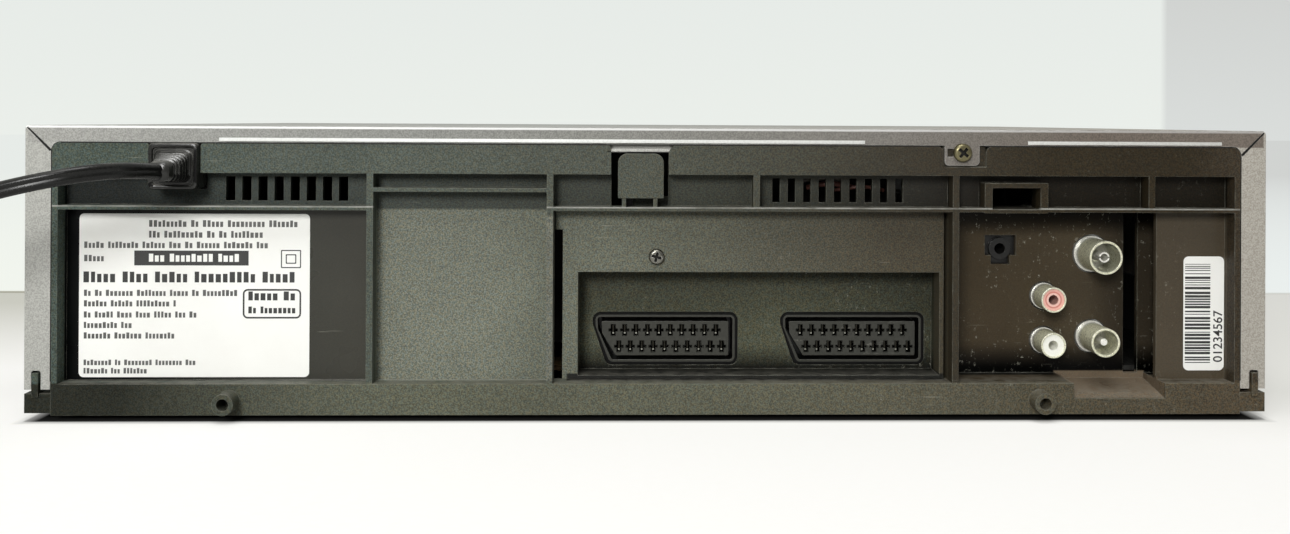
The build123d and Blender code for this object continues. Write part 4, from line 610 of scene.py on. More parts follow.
def makeWindowFinish(look):
    g = startFinish("windowPlastic")
    smear = g.noise(35.0, 4.0, 0.65, 7.0)
    g.put("Base Color", g.blend(g.spread(smear, 0.4, 0.7), *look["tints"]))
    g.put("Roughness", g.spread(smear, 0.4, 0.75, 0.03, 0.14))
    g.put("Transmission Weight", look["clear"])
    g.put("IOR", 1.49)
    return g.owner


dressNodes("display_window", makeWindowFinish(dict(tints=((0.16, 0.16, 0.18), (0.12, 0.12, 0.14)), clear=0.85)))

print("carried nodes dressed:", len(dressed))


# the flat twin lead: two cores side by side, wide side upright

lead = {
    "wide": 0.005, "thick": 0.0031, "coreGap": 0.00095,
    "run": [  # x, distance behind the panel, z
        (0.1525, 0.0145, 0.0799), (0.1558, 0.0262, 0.081), (0.164, 0.0352, 0.0806), (0.1765, 0.04, 0.0782),
        (0.191, 0.0416, 0.0746), (0.206, 0.0424, 0.0688), (0.2205, 0.0434, 0.06), (0.235, 0.0454, 0.0472),
        (0.249, 0.0472, 0.032), (0.263, 0.0486, 0.0174), (0.2785, 0.0482, 0.007), (0.296, 0.044, 0.0026),
        (0.313, 0.033, 0.0026), (0.3245, 0.016, 0.0026),
    ],
    "coil": (0.293, 0.135), "turnRadii": (0.035, 0.03, 0.025, 0.025, 0.03, 0.035), "perTurn": 14,
    "low": 0.00262, "high": 0.0076, "tail": [(0.328, 0.118, 0.0075), (0.328, 0.093, 0.0075)],
}


def coilPoints(c):
    # clockwise seen from above; each turn eases into the next over its last quarter
    points = []
    swell = 1 / 0.975  # the curve runs a little inside its control points
    last = len(c["turnRadii"]) - 1
    for turn, radius in enumerate(c["turnRadii"]):
        after = c["turnRadii"][min(turn + 1, last)]
        height, heightAfter = (c["low"] if turn < end else c["high"] for end in (3, 2))
        for n in range(c["perTurn"]):
            part = n / c["perTurn"]
            ease = max(0.0, (part - 0.72) / 0.28)
            ease = ease * ease * (3 - 2 * ease)
            r = (radius + (after - radius) * ease) * swell
            a = -2 * math.pi * part
            points.append((c["coil"][0] + r * math.cos(a), c["coil"][1] + r * math.sin(a),
                           height + (heightAfter - height) * ease))
    return points


def curveMesh(name, curve):
    obj = linkObject(name, curve)
    bpy.context.view_layer.update()
    mesh = bpy.data.meshes.new_from_object(obj.evaluated_get(bpy.context.evaluated_depsgraph_get()))
    bpy.data.objects.remove(obj)
    return mesh


def splineLine(name, control, resolution=8):
    curve = bpy.data.curves.new(name, "CURVE")
    curve.dimensions = "3D"
    spline = curve.splines.new("NURBS")
    spline.points.add(len(control) - 1)
    for point, place in zip(spline.points, control):
        point.co = (*place, 1.0)
    spline.order_u = 3
    spline.use_endpoint_u = True
    spline.resolution_u = resolution
    mesh = curveMesh(name, curve)
    line = [v.co.copy() for v in mesh.vertices]
    bpy.data.meshes.remove(mesh)
    return line


def tangents(line):
    last = len(line) - 1
    return [(line[min(last, n + 1)] - line[max(0, n - 1)]).normalized() for n in range(len(line))]


def twinSection(c, steps=7):
    # outline of two touching cores, as (along the wide side, along the thin side)
    radius, gap = c["thick"] / 2, c["coreGap"]
    limit = math.acos(gap / radius)
    points = []
    for side in (1, -1):
        for n in range(steps + 1):
            a = -math.pi + limit + (2 * math.pi - 2 * limit) * n / steps
            points.append((side * (gap + radius * math.cos(a)), side * radius * math.sin(a)))
    return points


def makeLead(c):
    run = [(x, rearY + out, z) for x, out, z in c["run"]]
    line = splineLine("leadRoute", run + coilPoints(c) + c["tail"])
    section = twinSection(c)
    rings = []
    for point, along in zip(line, tangents(line)):
        wide = (zAxis - along * along.z).normalized()
        thin = along.cross(wide)
        rings.append([point + wide * w + thin * t for w, t in section])
    print("lead length", round(sum((b - a).length for a, b in zip(line, line[1:])), 3))
    return linkMesh(loftMesh("mains_lead", rings), made["cordVinyl"], sharp=60), line


leadPiece, leadLine = makeLead(lead)
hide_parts("mains_cord", "cord_coil")


# moulded bush in the panel's notch, with its ribbed boot

boot = {
    "x": 0.153, "z": 0.08115,
    "bush": [  # distance behind the panel, half width, half height, corner
        (-0.0117, 0.0089, 0.009, 0.001), (-0.0086, 0.0089, 0.009, 0.001), (-0.0085, 0.0079, 0.00745, 0.0014),
        (0.0013, 0.0079, 0.00745, 0.0016), (0.002, 0.0076, 0.00715, 0.0016), (0.0022, 0.0071, 0.00665, 0.0015),
        (0.002, 0.0066, 0.00615, 0.0013), (0.0013, 0.0063, 0.00585, 0.0013),
    ],
    "tip": (0.1525, rearY + 0.0145, 0.0799), "start": (0.0061, 0.0054), "end": (0.0033, 0.003),
    "ribs": 7, "ribDepth": 0.0013,
}


def makeBoot(c):
    rings = [roundedRing(Vector((c["x"], rearY + out, c["z"])), xAxis, zAxis, wide, high, corner)
             for out, wide, high, corner in c["bush"]]
    start, tip = Vector((c["x"], rearY + c["bush"][-1][0], c["z"])), Vector(c["tip"])
    lean = (tip - start).normalized()
    across = Vector((lean.y, -lean.x, 0)).normalized()

    def ribPhase(t):
        # counts the grooves along the boot, None outside them
        phase = t * (c["ribs"] + 1.2) - 0.3
        return phase if 0.0 < phase < c["ribs"] else None

    steps = c["ribs"] * 6 + 8
    for n in range(steps + 1):
        t = n / steps
        middle = start.lerp(tip, t) - xAxis * 0.0007 * math.sin(math.pi * t)
        halfWide, halfHigh = (a + (b - a) * t ** 0.85 for a, b in zip(c["start"], c["end"]))
        phase = ribPhase(t)
        groove = max(0.0, math.sin(2 * math.pi * phase)) ** 0.5 * c["ribDepth"] if phase else 0.0
        turned = across.lerp(xAxis, 1 - t).normalized()
        rings.append(roundedRing(middle, turned, zAxis, halfWide - groove, halfHigh - groove, 0.0022))
    halfWide, halfHigh = (size - 0.0005 for size in c["end"])
    rings.append(roundedRing(tip + lean * 0.0004, across, zAxis, halfWide, halfHigh, 0.002))
    piece = linkMesh(loftMesh("lead_boot", rings), made["bootRubber"], sharp=40)
    piece.data.materials.append(made["grooveShade"])
    for face in piece.data.polygons:
        # painted shade: the bottoms of the grooves between the ribs get a near-black finish
        phase = ribPhase((face.center - start).dot(lean) / (tip - start).length)
        if phase and face.center.y > rearY + 0.0021 and 0.08 < phase % 1.0 < 0.42:
            face.material_index = 1
    return piece


bootPiece = makeBoot(boot)
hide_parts("strain_relief")


# three-pin plug lying on its back beside the coil

plug = {
    "x": 0.328, "face": 0.093, "length": 0.046, "half": 0.0245, "high": 0.022,
    "pinHigh": 0.0177, "earthHigh": 0.0227,
    "levels": [  # height, share of the width, of the length, corner
        (0.0, 0.66, 0.7, 0.008), (0.0008, 0.74, 0.78, 0.009), (0.0035, 0.84, 0.9, 0.009), (0.01, 0.9, 0.96, 0.008),
        (0.0175, 0.97, 0.99, 0.007), (0.0185, 1.0, 1.0, 0.0065), (0.0214, 1.0, 1.0, 0.0065),
        (0.022, 0.975, 0.975, 0.006), (0.022, 0.8, 0.82, 0.004), (0.0215, 0.79, 0.81, 0.004),
    ],
    "grip": (0.0022, 0.0018, 0.01), "grips": 5, "gripPitch": 0.0045, "drawer": (0.0082, 0.015, 0.0012),
}


def addPost(bm, x, y, halfX, halfY, levels):
    # upright post from outlines at (height, share of its width)
    rings = [roundedRing(Vector((x, y, z)), xAxis, yAxis, halfX * share, halfY * share, 0.0004, 3)
             for z, share in levels]
    bm.from_mesh(loftMesh("post", rings))


def makePlug(c):
    nose, high = c["face"] - c["length"], c["high"]
    middle = Vector((c["x"], (nose + c["face"]) / 2, 0))
    halfX, halfY = c["half"], c["length"] / 2
    rings = [roundedRing(middle + zAxis * height, xAxis, yAxis, halfX * wide, halfY * deep, corner, 5)
             for height, wide, deep, corner in c["levels"]]
    body = linkMesh(loftMesh("plug_body", rings), made["glossBlack"], sharp=50)
    bm = bmesh.new()
    # grips on both sides and the fuse drawer between the pins
    for side in (-1, 1):
        for n in range(c["grips"]):
            addBlock(bm, (c["x"] + side * 0.0222, nose + 0.014 + n * c["gripPitch"], 0.0105), c["grip"], 0.0005)
    addBlock(bm, (c["x"], nose + 0.0245, high - 0.0003), c["drawer"], 0.0003)
    grips = linkMesh(meshOf("plug_grips", bm), made["glossBlack"], sharp=40)
    pins, sleeves = bmesh.new(), bmesh.new()
    spots = [(0.0, 0.011, 0.002, 0.004, c["earthHigh"])]
    spots += [(side * 0.0111, 0.033, 0.0032, 0.002, c["pinHigh"]) for side in (-1, 1)]
    for aside, along, halfX, halfY, rise in spots:
        x, y, top = c["x"] + aside, nose + along, high + rise
        addPost(pins, x, y, halfX, halfY, (
            (high - 0.002, 1.0), (top - 0.0016, 1.0), (top - 0.0006, 0.86), (top, 0.55)))
        if rise == c["pinHigh"]:
            addPost(sleeves, x, y, halfX + 0.00003, halfY + 0.00003, ((high - 0.001, 1.0), (high + 0.009, 1.0)))
    pinPiece = linkMesh(meshOf("plug_pins", pins), made["plugBrass"], sharp=40)
    sleevePiece = linkMesh(meshOf("pin_sleeves", sleeves), made["glossBlack"], sharp=40)
    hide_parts("mains_plug")
    return [body, grips, pinPiece, sleevePiece]


plugPieces = makePlug(plug)

tie = {
    "angle": 150.0, "wide": 0.0036, "thick": 0.0006, "inner": 0.0221, "outer": 0.0379, "base": 0.0007, "top": 0.0101,
    "endLong": 0.014, "endHalf": 0.0016, "endThick": 0.0004, "endSteps": 25,
}


def makeTie(c):
    # paper-covered wire round the bundle, its ends twisted together on top
    a = math.radians(c["angle"])
    outward, side = Vector((math.cos(a), math.sin(a), 0)), Vector((-math.sin(a), math.cos(a), 0))
    centre = Vector((*lead["coil"], 0)) + outward * (c["inner"] + c["outer"]) / 2
    halfOut, halfHigh = (c["outer"] - c["inner"]) / 2, (c["top"] - c["base"]) / 2
    loop = roundedRing(centre + zAxis * (c["base"] + halfHigh), outward, zAxis, halfOut, halfHigh, 0.0028, 6)
    middle = sum(loop, Vector()) / len(loop)
    bm = bmesh.new()
    rows = []
    for point in loop:
        away = (point - middle).normalized()
        rows.append([bm.verts.new(point + side * s * c["wide"] / 2 + away * t * c["thick"])
                     for s, t in ((-1, 0), (1, 0), (1, 0.7), (0.35, 1.0), (-0.35, 1.0), (-1, 0.7))])
    for n, row in enumerate(rows):
        bridge(bm, row, rows[(n + 1) % len(rows)])
    bmesh.ops.recalc_face_normals(bm, faces=bm.faces)
    twist = []
    base = centre + zAxis * (c["top"] + 0.0004)
    for n in range(c["endSteps"] + 1):
        t = n / c["endSteps"]
        spin = t * 3.2 * math.pi
        point = base + side * c["endLong"] * t + zAxis * (0.0012 + 0.002 * math.sin(math.pi * t * 0.5))
        wide = outward * math.cos(spin) + zAxis * math.sin(spin)
        thin = wide.cross(side) * c["endThick"]
        wide *= c["endHalf"] * (1 - 0.25 * t)
        twist.append([point + wide + thin, point - wide + thin, point - wide - thin, point + wide - thin])
    bm.from_mesh(loftMesh("tieEnds", twist))
    piece = linkMesh(meshOf("lead_tie", bm), made["armPlastic"], sharp=50)
    return piece


tiePiece = makeTie(tie)
print("lead, boot, plug and tie made")


# paper labels with plain printed marks

def makePaperFinish(name, look):
    g = startFinish(name)
    fibre = g.noise(2600.0)
    age = g.noise(55.0, 4.0, 0.6, 3.3)
    base = g.blend(g.spread(age, 0.35, 0.75), *look["tints"])
    g.put("Base Color", g.blend(g.times(g.spread(fibre, 0.4, 0.7), 0.1), base, look["fibre"]))
    g.put("Roughness", g.spread(age, 0.3, 0.7, *look["rough"]))
    g.relief(fibre, 0.25, 0.00002)
    return g.owner


labelPaper = makePaperFinish("labelPaper", {
    "tints": ((0.955, 0.955, 0.915), (0.915, 0.91, 0.865)), "fibre": (0.84, 0.83, 0.79), "rough": (0.3, 0.42)})
printInk = makePaperFinish("printInk", {
    "tints": ((0.014, 0.014, 0.013), (0.03, 0.03, 0.028)), "fibre": (0.07, 0.07, 0.065), "rough": (0.45, 0.6)})
paleInk = makePaperFinish("paleInk", {
    "tints": ((0.075, 0.075, 0.07), (0.13, 0.128, 0.12)), "fibre": (0.25, 0.25, 0.24), "rough": (0.45, 0.6)})


def paperSheet(name, c):
    centre = Vector(((c["left"] + c["right"]) / 2, floorY, (c["low"] + c["high"]) / 2))
    halfWide, halfHigh = (c["left"] - c["right"]) / 2, (c["high"] - c["low"]) / 2
    rings = [roundedRing(centre + yAxis * out, -xAxis, zAxis, halfWide, halfHigh, c["corner"], 6)
             for out in (0.0, c["thick"])]
    linkMesh(loftMesh(name, rings), labelPaper)


def flatMarks(name, marks, y, finish, body="chassis", facing=1):
    # marks are lists of (x, z) outlines laid on one plane across Y
    bm = bmesh.new()
    for outline in marks:
        face = bm.faces.new([bm.verts.new((x, y, z)) for x, z in outline])
        face.normal_update()
        if face.normal.y * facing < 0:
            face.normal_flip()
    return linkMesh(meshOf(name, bm), finish, body)


def bar(left, right, low, high):
    return [(left, low), (right, low), (right, high), (left, high)]


def band(outer, inner):
    # marks that fill the space between two closed outlines
    return [(outer[n], outer[n - 1], inner[n - 1], inner[n]) for n in range(len(outer))]


def ringMarks(x, z, outer, inner, steps, fromTurn=0.0, toTurn=1.0):
    turns = [2 * math.pi * (fromTurn + (toTurn - fromTurn) * n / steps) for n in range(steps + 1)]
    return [[(x + r * math.cos(t), z + r * math.sin(t)) for r, t in ((outer, a), (outer, b), (inner, b), (inner, a))]
            for a, b in zip(turns, turns[1:])]


def blockLine(rng, left, right, low, size, weight=0.44):
    # rows of plain upright blocks grouped as words
    marks = []
    x = left
    while x > right:
        for n in range(rng.randint(2, 9)):
            wide = size * weight * rng.uniform(0.8, 1.15)
            if x - wide < right:
                return marks
            high = low + size * (1.0 if n == 0 else rng.choice((0.78, 0.78, 0.8, 0.98)))
            marks.append(bar(x, x - wide, low, high))
            x -= wide + size * 0.19
        x -= size * 0.5
    return marks


ratingLabel = {
    "left": 0.1858, "right": 0.1118, "low": 0.0125, "high": 0.0655, "corner": 0.0016, "thick": 0.00012,
    "lines": [  # from, to, base height, height of a block, ink
        (0.1635, 0.1158, 0.0612, 0.0022, "pale"), (0.1635, 0.1256, 0.0577, 0.0022, "pale"),
        (0.1842, 0.1245, 0.0543, 0.0021, "pale"), (0.1842, 0.1768, 0.05, 0.0021, "pale"),
        (0.1844, 0.115, 0.0432, 0.0035, "ink"), (0.1842, 0.1345, 0.0388, 0.002, "pale"),
        (0.1842, 0.154, 0.0354, 0.002, "pale"), (0.1842, 0.148, 0.0318, 0.002, "pale"),
        (0.1842, 0.1685, 0.0284, 0.002, "pale"), (0.1842, 0.1545, 0.025, 0.002, "pale"),
        (0.1842, 0.148, 0.0164, 0.0018, "pale"), (0.1842, 0.164, 0.0137, 0.0018, "pale"),
    ],
    "bar": (0.1682, 0.1315, 0.0487, 0.0535), "whites": (0.1635, 0.1345, 0.0499, 0.0026, 0.5),
    "frames": [  # middle, half width, half height, corner, line
        (0.1239, 0.0363, 0.0094, 0.0048, 0.0016, 0.00055), (0.11785, 0.05085, 0.00325, 0.00295, 0.0003, 0.00035),
        (0.11785, 0.05085, 0.0017, 0.00155, 0.0002, 0.00035),
    ],
    "stamp": [(0.1315, 0.1163, 0.0374, 0.0029, 0.5), (0.1315, 0.1163, 0.0332, 0.0022, 0.5)],
}


def frameMarks(x, z, halfWide, halfHigh, corner, line):
    return band(*([(p.x, p.z) for p in roundedRing(
        Vector((x, 0, z)), -xAxis, zAxis, halfWide - cut, halfHigh - cut, max(0.0002, corner - cut), 5)]
        for cut in (0.0, line)))


def makeRatingLabel(c):
    rng = random.Random(11)
    y = floorY + c["thick"] + printLift
    paperSheet("rating_label", c)
    marks = {"pale": [], "ink": []}
    for left, right, low, size, tone in c["lines"]:
        marks[tone] += blockLine(rng, left, right, low, size)
    marks["ink"].append(bar(*c["bar"]))
    for values in c["stamp"]:
        marks["ink"] += blockLine(rng, *values)
    for values in c["frames"]:
        marks["ink"] += frameMarks(*values)
    flatMarks("rating_marks_pale", marks["pale"], y, paleInk)
    flatMarks("rating_marks_dark", marks["ink"], y, printInk)
    flatMarks("rating_marks_white", blockLine(rng, *c["whites"]), y + 0.00002, labelPaper)


barLabel = {
    "left": -0.1759, "right": -0.1895, "low": 0.0145, "high": 0.0523, "corner": 0.0017, "thick": 0.00012,
    "bars": (-0.1764, -0.1849), "from": 0.017, "to": 0.0498, "digits": "01234567", "digitSize": 0.0043,
    "digitWeight": 0.00004, "digitsAt": (-0.1889, 0.0172),
}


def makeBarLabel(c):
    rng = random.Random(29)
    y = floorY + c["thick"] + printLift
    paperSheet("bar_label", c)
    marks = []
    z = c["from"]
    while z < c["to"]:
        thick = rng.choice((0.00028, 0.00028, 0.0005, 0.0008))
        marks.append(bar(*c["bars"], z, min(c["to"], z + thick)))
        z += thick + rng.choice((0.00028, 0.00035, 0.0005, 0.0008))
    flatMarks("bar_marks", marks, y, printInk)
    text = bpy.data.curves.new("digits", "FONT")
    text.body, text.size, text.offset = c["digits"], c["digitSize"], c["digitWeight"]
    mesh = curveMesh("digits", text)
    # reads upwards along the label's outer side
    turn = Matrix((zAxis, xAxis, zAxis.cross(xAxis))).transposed().to_4x4()
    mesh.transform(Matrix.Translation((c["digitsAt"][0], y, c["digitsAt"][1])) @ turn)
    mesh.name = "bar_digits"
    linkMesh(mesh, printInk)


makeRatingLabel(ratingLabel)
makeBarLabel(barLabel)
print("labels laid")


# joggles where the cover's rear flange is pressed over the panel, painted pale as a highlight along their bend

joggles = {
    "spans": [(0.1391, -0.0682), (-0.1215, -0.1854)], "low": 0.0891, "high": 0.0903, "proud": 0.00045,
    "lip": (0.0166, -0.0064, 0.0863, 0.0873, 0.1386, 0.0004), "taper": 0.0012, "depth": 0.0004,
}


def makeJoggles(c):
    bm = bmesh.new()

    def strip(left, right, low, high, y, proud):
        ends = []
        for x, out in ((left, 0.0), (left - c["taper"], proud), (right + c["taper"], proud), (right, 0.0)):
            ends.append([bm.verts.new(p) for p in (
                (x, y - c["depth"], low), (x, y + out, low + 0.0001), (x, y + out, low + 0.00035),
                (x, y + out * 0.25, high), (x, y - c["depth"], high))])
        for a, b in zip(ends, ends[1:]):
            bridge(bm, a, b)
        bm.faces.new(ends[0])
        bm.faces.new(list(reversed(ends[-1])))

    for left, right in c["spans"]:
        strip(left, right, c["low"], c["high"], rearY, c["proud"])
    painted = len(bm.faces)
    strip(*c["lip"])
    bm.faces.ensure_lookup_table()
    for face in bm.faces[painted:]:
        face.material_index = 1
    bmesh.ops.recalc_face_normals(bm, faces=bm.faces)
    piece = linkMesh(meshOf("cover_joggles", bm), made["joggleHighlight"], sharp=50)
    piece.data.materials.append(made["coverPaint"])


makeJoggles(joggles)


# screw heads with their cross recesses, each turned as it was left

screws = [
    {"name": "cover_screw", "x": -0.09995, "z": 0.0865, "y": rearY, "radius": 0.00305, "shank": 0.006, "turn": 40.0,
     "finish": "yellowZinc", "slot": "yellow_zinc"},
    {"name": "plate_screw", "x": -0.00095, "z": 0.0519, "y": floorY, "radius": 0.0026, "shank": 0.0044, "turn": 15.0,
     "finish": "greyScrew", "slot": "nickel"},
]
screwHead = {
    "profile": [(1.0, 0.00002), (1.0, 0.0007), (0.97, 0.00105), (0.88, 0.0014), (0.74, 0.00162), (0.66, 0.00168)],
    "shankRadius": 0.00142, "long": 0.62, "thin": 0.17, "deep": 0.0012, "top": 0.00169,
}
# near-black finish for painted shade in the screws' cross recesses
addFinish("recessShade", "", dict(
    tints=((0.012, 0.011, 0.009), (0.006, 0.006, 0.005)), patch=300.0, grain=(0.2, 1400.0), rough=(0.4, 0.6),
    specular=0.2, seed=36.0))


def makeScrew(c, head):
    x, y, z, r = c["x"], c["y"], c["z"], c["radius"]
    long, thin = r * head["long"], r * head["thin"]
    corner = math.degrees(math.atan2(thin, long))
    turns = [90.0 * quarter + t for quarter in range(4) for t in (
        0.0, corner, 20.0, 32.0, 45.0, 58.0, 70.0, 90.0 - corner)]

    def ring(radius, out, cross=0.0):
        points = []
        for t in turns:
            a = math.radians(t)
            b = a + math.radians(c["turn"])
            far = radius
            if cross:
                ca, sa = (max(1e-6, abs(f(a))) for f in (math.cos, math.sin))
                far = cross * max(min(long / ca, thin / sa), min(thin / ca, long / sa))
            points.append(Vector((x + far * math.cos(b), y + out, z + far * math.sin(b))))
        return points

    rings = [ring(head["shankRadius"], -c["shank"]), ring(head["shankRadius"], 0.0001)]
    rings += [ring(r * share, out) for share, out in head["profile"]]
    rings += [ring(0.0, head["top"], 1.0), ring(0.0, head["top"] - head["deep"], 0.82)]
    piece = linkMesh(loftMesh(c["name"] + "_head", rings), made[c["finish"]], sharp=35)
    piece.data.materials.append(made["recessShade"])
    # painted shade: the recess's faces take the near-black finish
    for face in piece.data.polygons:
        gap = (face.center.x - x) ** 2 + (face.center.z - z) ** 2
        if y + 0.0003 < face.center.y < y + 0.0016 and gap < (long * 0.96) ** 2:
            face.material_index = 1
    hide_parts(c["name"])


for values in screws:
    makeScrew(values, screwHead)
print("screws set")


# painted shade in the cover's rear flange: flat near-black marks over its mitred corners and its gap to the panel

seams = {
    "mitre": [((0.1994, 0.0934), (0.19205, 0.08605)), ((-0.1994, 0.0934), (-0.19205, 0.08605))], "half": 0.00042,
    "under": [(0.1889, 0.014), (-0.0047, -0.0928), (-0.1071, -0.1889)], "underZ": (0.08842, 0.08882),
    "sideX": (0.19162, 0.19195), "sideZ": (0.0125, 0.0858),
}
# near-black finish for painted shade in seams and behind openings
addFinish("gapShade", "", dict(
    tints=((0.01, 0.0095, 0.0085), (0.006, 0.006, 0.005)), grain=(0.2, 1400.0), rough=(0.5, 0.7), specular=0.2,
    seed=35.0))


def makeSeams(c):
    marks = []
    for start, end in c["mitre"]:
        a, b = Vector(start), Vector(end)
        along = (b - a).normalized()
        side = Vector((-along.y, along.x)) * c["half"]
        marks.append((a + side * 0.6, b + side, b - side, a - side * 0.6))
    marks += [bar(left, right, *c["underZ"]) for left, right in c["under"]]
    marks += [bar(side * c["sideX"][0], side * c["sideX"][1], *c["sideZ"]) for side in (1, -1)]
    flatMarks("cover_seams", marks, rearY + printLift, made["gapShade"])


makeSeams(seams)


# painted shade: a flat near-black band round each 21-way socket, where it stands in the plate

rims = {
    "first": (0.01325, -0.04995), "reach": 0.0418, "wide": 0.0487, "high": 0.0175, "slant": 0.0048, "z": 0.0232,
    "corner": 0.0026, "line": 0.00085, "y": 0.12243,
}


def rimPath(c, first, inset, steps=6):
    half = c["high"] / 2 - inset
    right = first - c["reach"] + inset
    left = right + c["wide"] - 2 * inset
    corners = [Vector(p) for p in (
        (left, c["z"] + half), (right, c["z"] + half), (right, c["z"] - half),
        (left - c["slant"], c["z"] - half), (left - 0.0002, c["z"] + half - 0.004))]
    radius = max(c["corner"] - inset, 0.0004)
    points = []
    for k, corner in enumerate(corners):
        a, b = ((corners[n % len(corners)] - corner).normalized() for n in (k - 1, k + 1))
        turn = a.angle(b) / 2
        centre = corner + (a + b).normalized() * radius / math.sin(turn)
        start, end = (corner + way * radius / math.tan(turn) - centre for way in (a, b))
        points += [centre + start.lerp(end, t / steps).normalized() * radius for t in range(steps + 1)]
    return points


def makeRims(c):
    marks = []
    for first in c["first"]:
        marks += band(rimPath(c, first, 0.0), rimPath(c, first, c["line"]))
    flatMarks("socket_rims", marks, c["y"], made["grooveShade"])


makeRims(rims)


# painted shade: black sheets behind the vents and the slot beside the plate

shadeSheets = {
    "vent_shade_sheet": ((-0.085, 0.108, 0.062), (0.02, 0.1085, 0.088)),
    "slot_shade_sheet": ((0.022, 0.11, 0.0195), (0.045, 0.1105, 0.061)),
}


def makeShadeSheet(name, low, high):
    bm = bmesh.new()
    addBlock(bm, (low + high) / 2, high - low, 0.0001)
    linkMesh(meshOf(name, bm), made["gapShade"])


for name, corners in shadeSheets.items():
    makeShadeSheet(name, *(Vector(corner) for corner in corners))
print("seams and cards laid")


# short wire loom seen through the right-hand vents, clipped to the panel's inner side

loom = [  # finish, radius, route
    ("loomRed", 0.0009, [
        (-0.052, 0.1225, 0.0742), (-0.0565, 0.1255, 0.0756), (-0.062, 0.1258, 0.0757), (-0.067, 0.1225, 0.0744)]),
    ("loomRed", 0.0007, [
        (-0.06, 0.1215, 0.073), (-0.066, 0.125, 0.0744), (-0.072, 0.1252, 0.0748), (-0.078, 0.1215, 0.0732)]),
    ("loomWhite", 0.0007, [
        (-0.05, 0.1222, 0.0764), (-0.055, 0.1252, 0.0774), (-0.06, 0.125, 0.0775), (-0.066, 0.122, 0.0762)]),
]
addFinish("loomRed", "", dict(
    tints=((0.2, 0.085, 0.065), (0.15, 0.06, 0.048)), grain=(0.1, 1400.0), rough=(0.35, 0.5), seed=30.0))
addFinish("loomWhite", "", dict(
    tints=((0.34, 0.3, 0.26), (0.28, 0.25, 0.22)), grain=(0.1, 1400.0), rough=(0.35, 0.5), seed=31.0))


def makeLoom(wires, sides=10):
    turns = [2 * math.pi * k / sides for k in range(sides)]
    for n, (finish, radius, points) in enumerate(wires):
        line = splineLine("wireRoute", points, 10)
        rings = []
        for point, along in zip(line, tangents(line)):
            wide = along.cross(yAxis).normalized()
            thin = along.cross(wide)
            rings.append([point + (wide * math.cos(a) + thin * math.sin(a)) * radius for a in turns])
        linkMesh(loftMesh("loom_wire_%d" % (n + 1), rings), made[finish], sharp=60)


makeLoom(loom)


# plain symbols on the keys and the unlit segments of the display

keyMarks = {
    "y": -0.14502, "size": 0.0018, "rowZ": 0.038, "apart": 0.0016,
    "row": {"rewind": 0.108, "play": 0.126, "forward": 0.144, "stop": 0.162, "record": 0.18}, "bigX": -0.165,
}
addFinish("markInk", "", dict(
    tints=((0.62, 0.62, 0.6), (0.55, 0.55, 0.53)), patch=400.0, grain=(0.08, 1400.0), rough=(0.4, 0.5), seed=33.0))


def triangle(x, z, s, way):
    # seen from the front +X lies to the right
    return [(x - way * s * 0.8, z - s), (x + way * s * 0.9, z), (x - way * s * 0.8, z + s)]


def makeKeyMarks(c):
    row, z, s, big = c["row"], c["rowZ"], c["size"], c["bigX"]
    shapes = {
        "rewind_key": [triangle(row["rewind"] + shift, z, s, -1) for shift in (-c["apart"], c["apart"])],
        "play_key": [triangle(row["play"], z, s * 1.1, 1)],
        "forward_key": [triangle(row["forward"] + shift, z, s, 1) for shift in (-c["apart"], c["apart"])],
        "stop_key": [bar(row["stop"] - s, row["stop"] + s, z - s, z + s)],
        "record_key": ringMarks(row["record"], z, s, 0.0001, 24),
        "eject_key": [[(big - 0.0022, 0.0558), (big + 0.0022, 0.0558), (big, 0.0582)],
                      bar(big - 0.0022, big + 0.0022, 0.0542, 0.0549)],
        "power_key": ringMarks(big, 0.074, 0.0022, 0.0018, 22, 0.32, 1.18)
        + [bar(big - 0.0002, big + 0.0002, 0.0742, 0.0766)],
    }
    for body, marks in shapes.items():
        flatMarks(body + "_symbol", marks, c["y"], made["markInk"], body, -1)


makeKeyMarks(keyMarks)

displayMarks = {
    "y": -0.13452, "x": (0.118, 0.1255, 0.1375, 0.145, 0.157), "low": 0.0645, "tall": 0.0085, "wide": 0.0046,
    "bar": 0.0007, "colon": (0.1334, 0.1341), "dots": (0.0024, 0.0056),
}
addFinish("dimSegments", "", dict(
    tints=((0.075, 0.105, 0.1), (0.06, 0.085, 0.08)), patch=500.0, grain=(0.06, 1400.0), rough=(0.25, 0.35),
    seed=34.0))


def makeDisplayMarks(c):
    marks = []
    t, low = c["bar"], c["low"]
    mid, high = low + c["tall"] / 2, low + c["tall"]
    for left in c["x"]:
        right = left + c["wide"]
        marks += [bar(left + t * 1.2, right - t * 1.2, z, z + t) for z in (low, mid - t / 2, high - t)]
        for side in (left, right - t):
            marks += [bar(side, side + t, low + t, mid - t * 0.7), bar(side, side + t, mid + t * 0.7, high - t)]
    marks += [bar(*c["colon"], low + rise, low + rise + t) for rise in c["dots"]]
    flatMarks("display_segments", marks, c["y"], made["dimSegments"], "chassis", -1)


makeDisplayMarks(displayMarks)
print("marks made")


# pale table that ends at a wall, seen by the camera in the room's tones

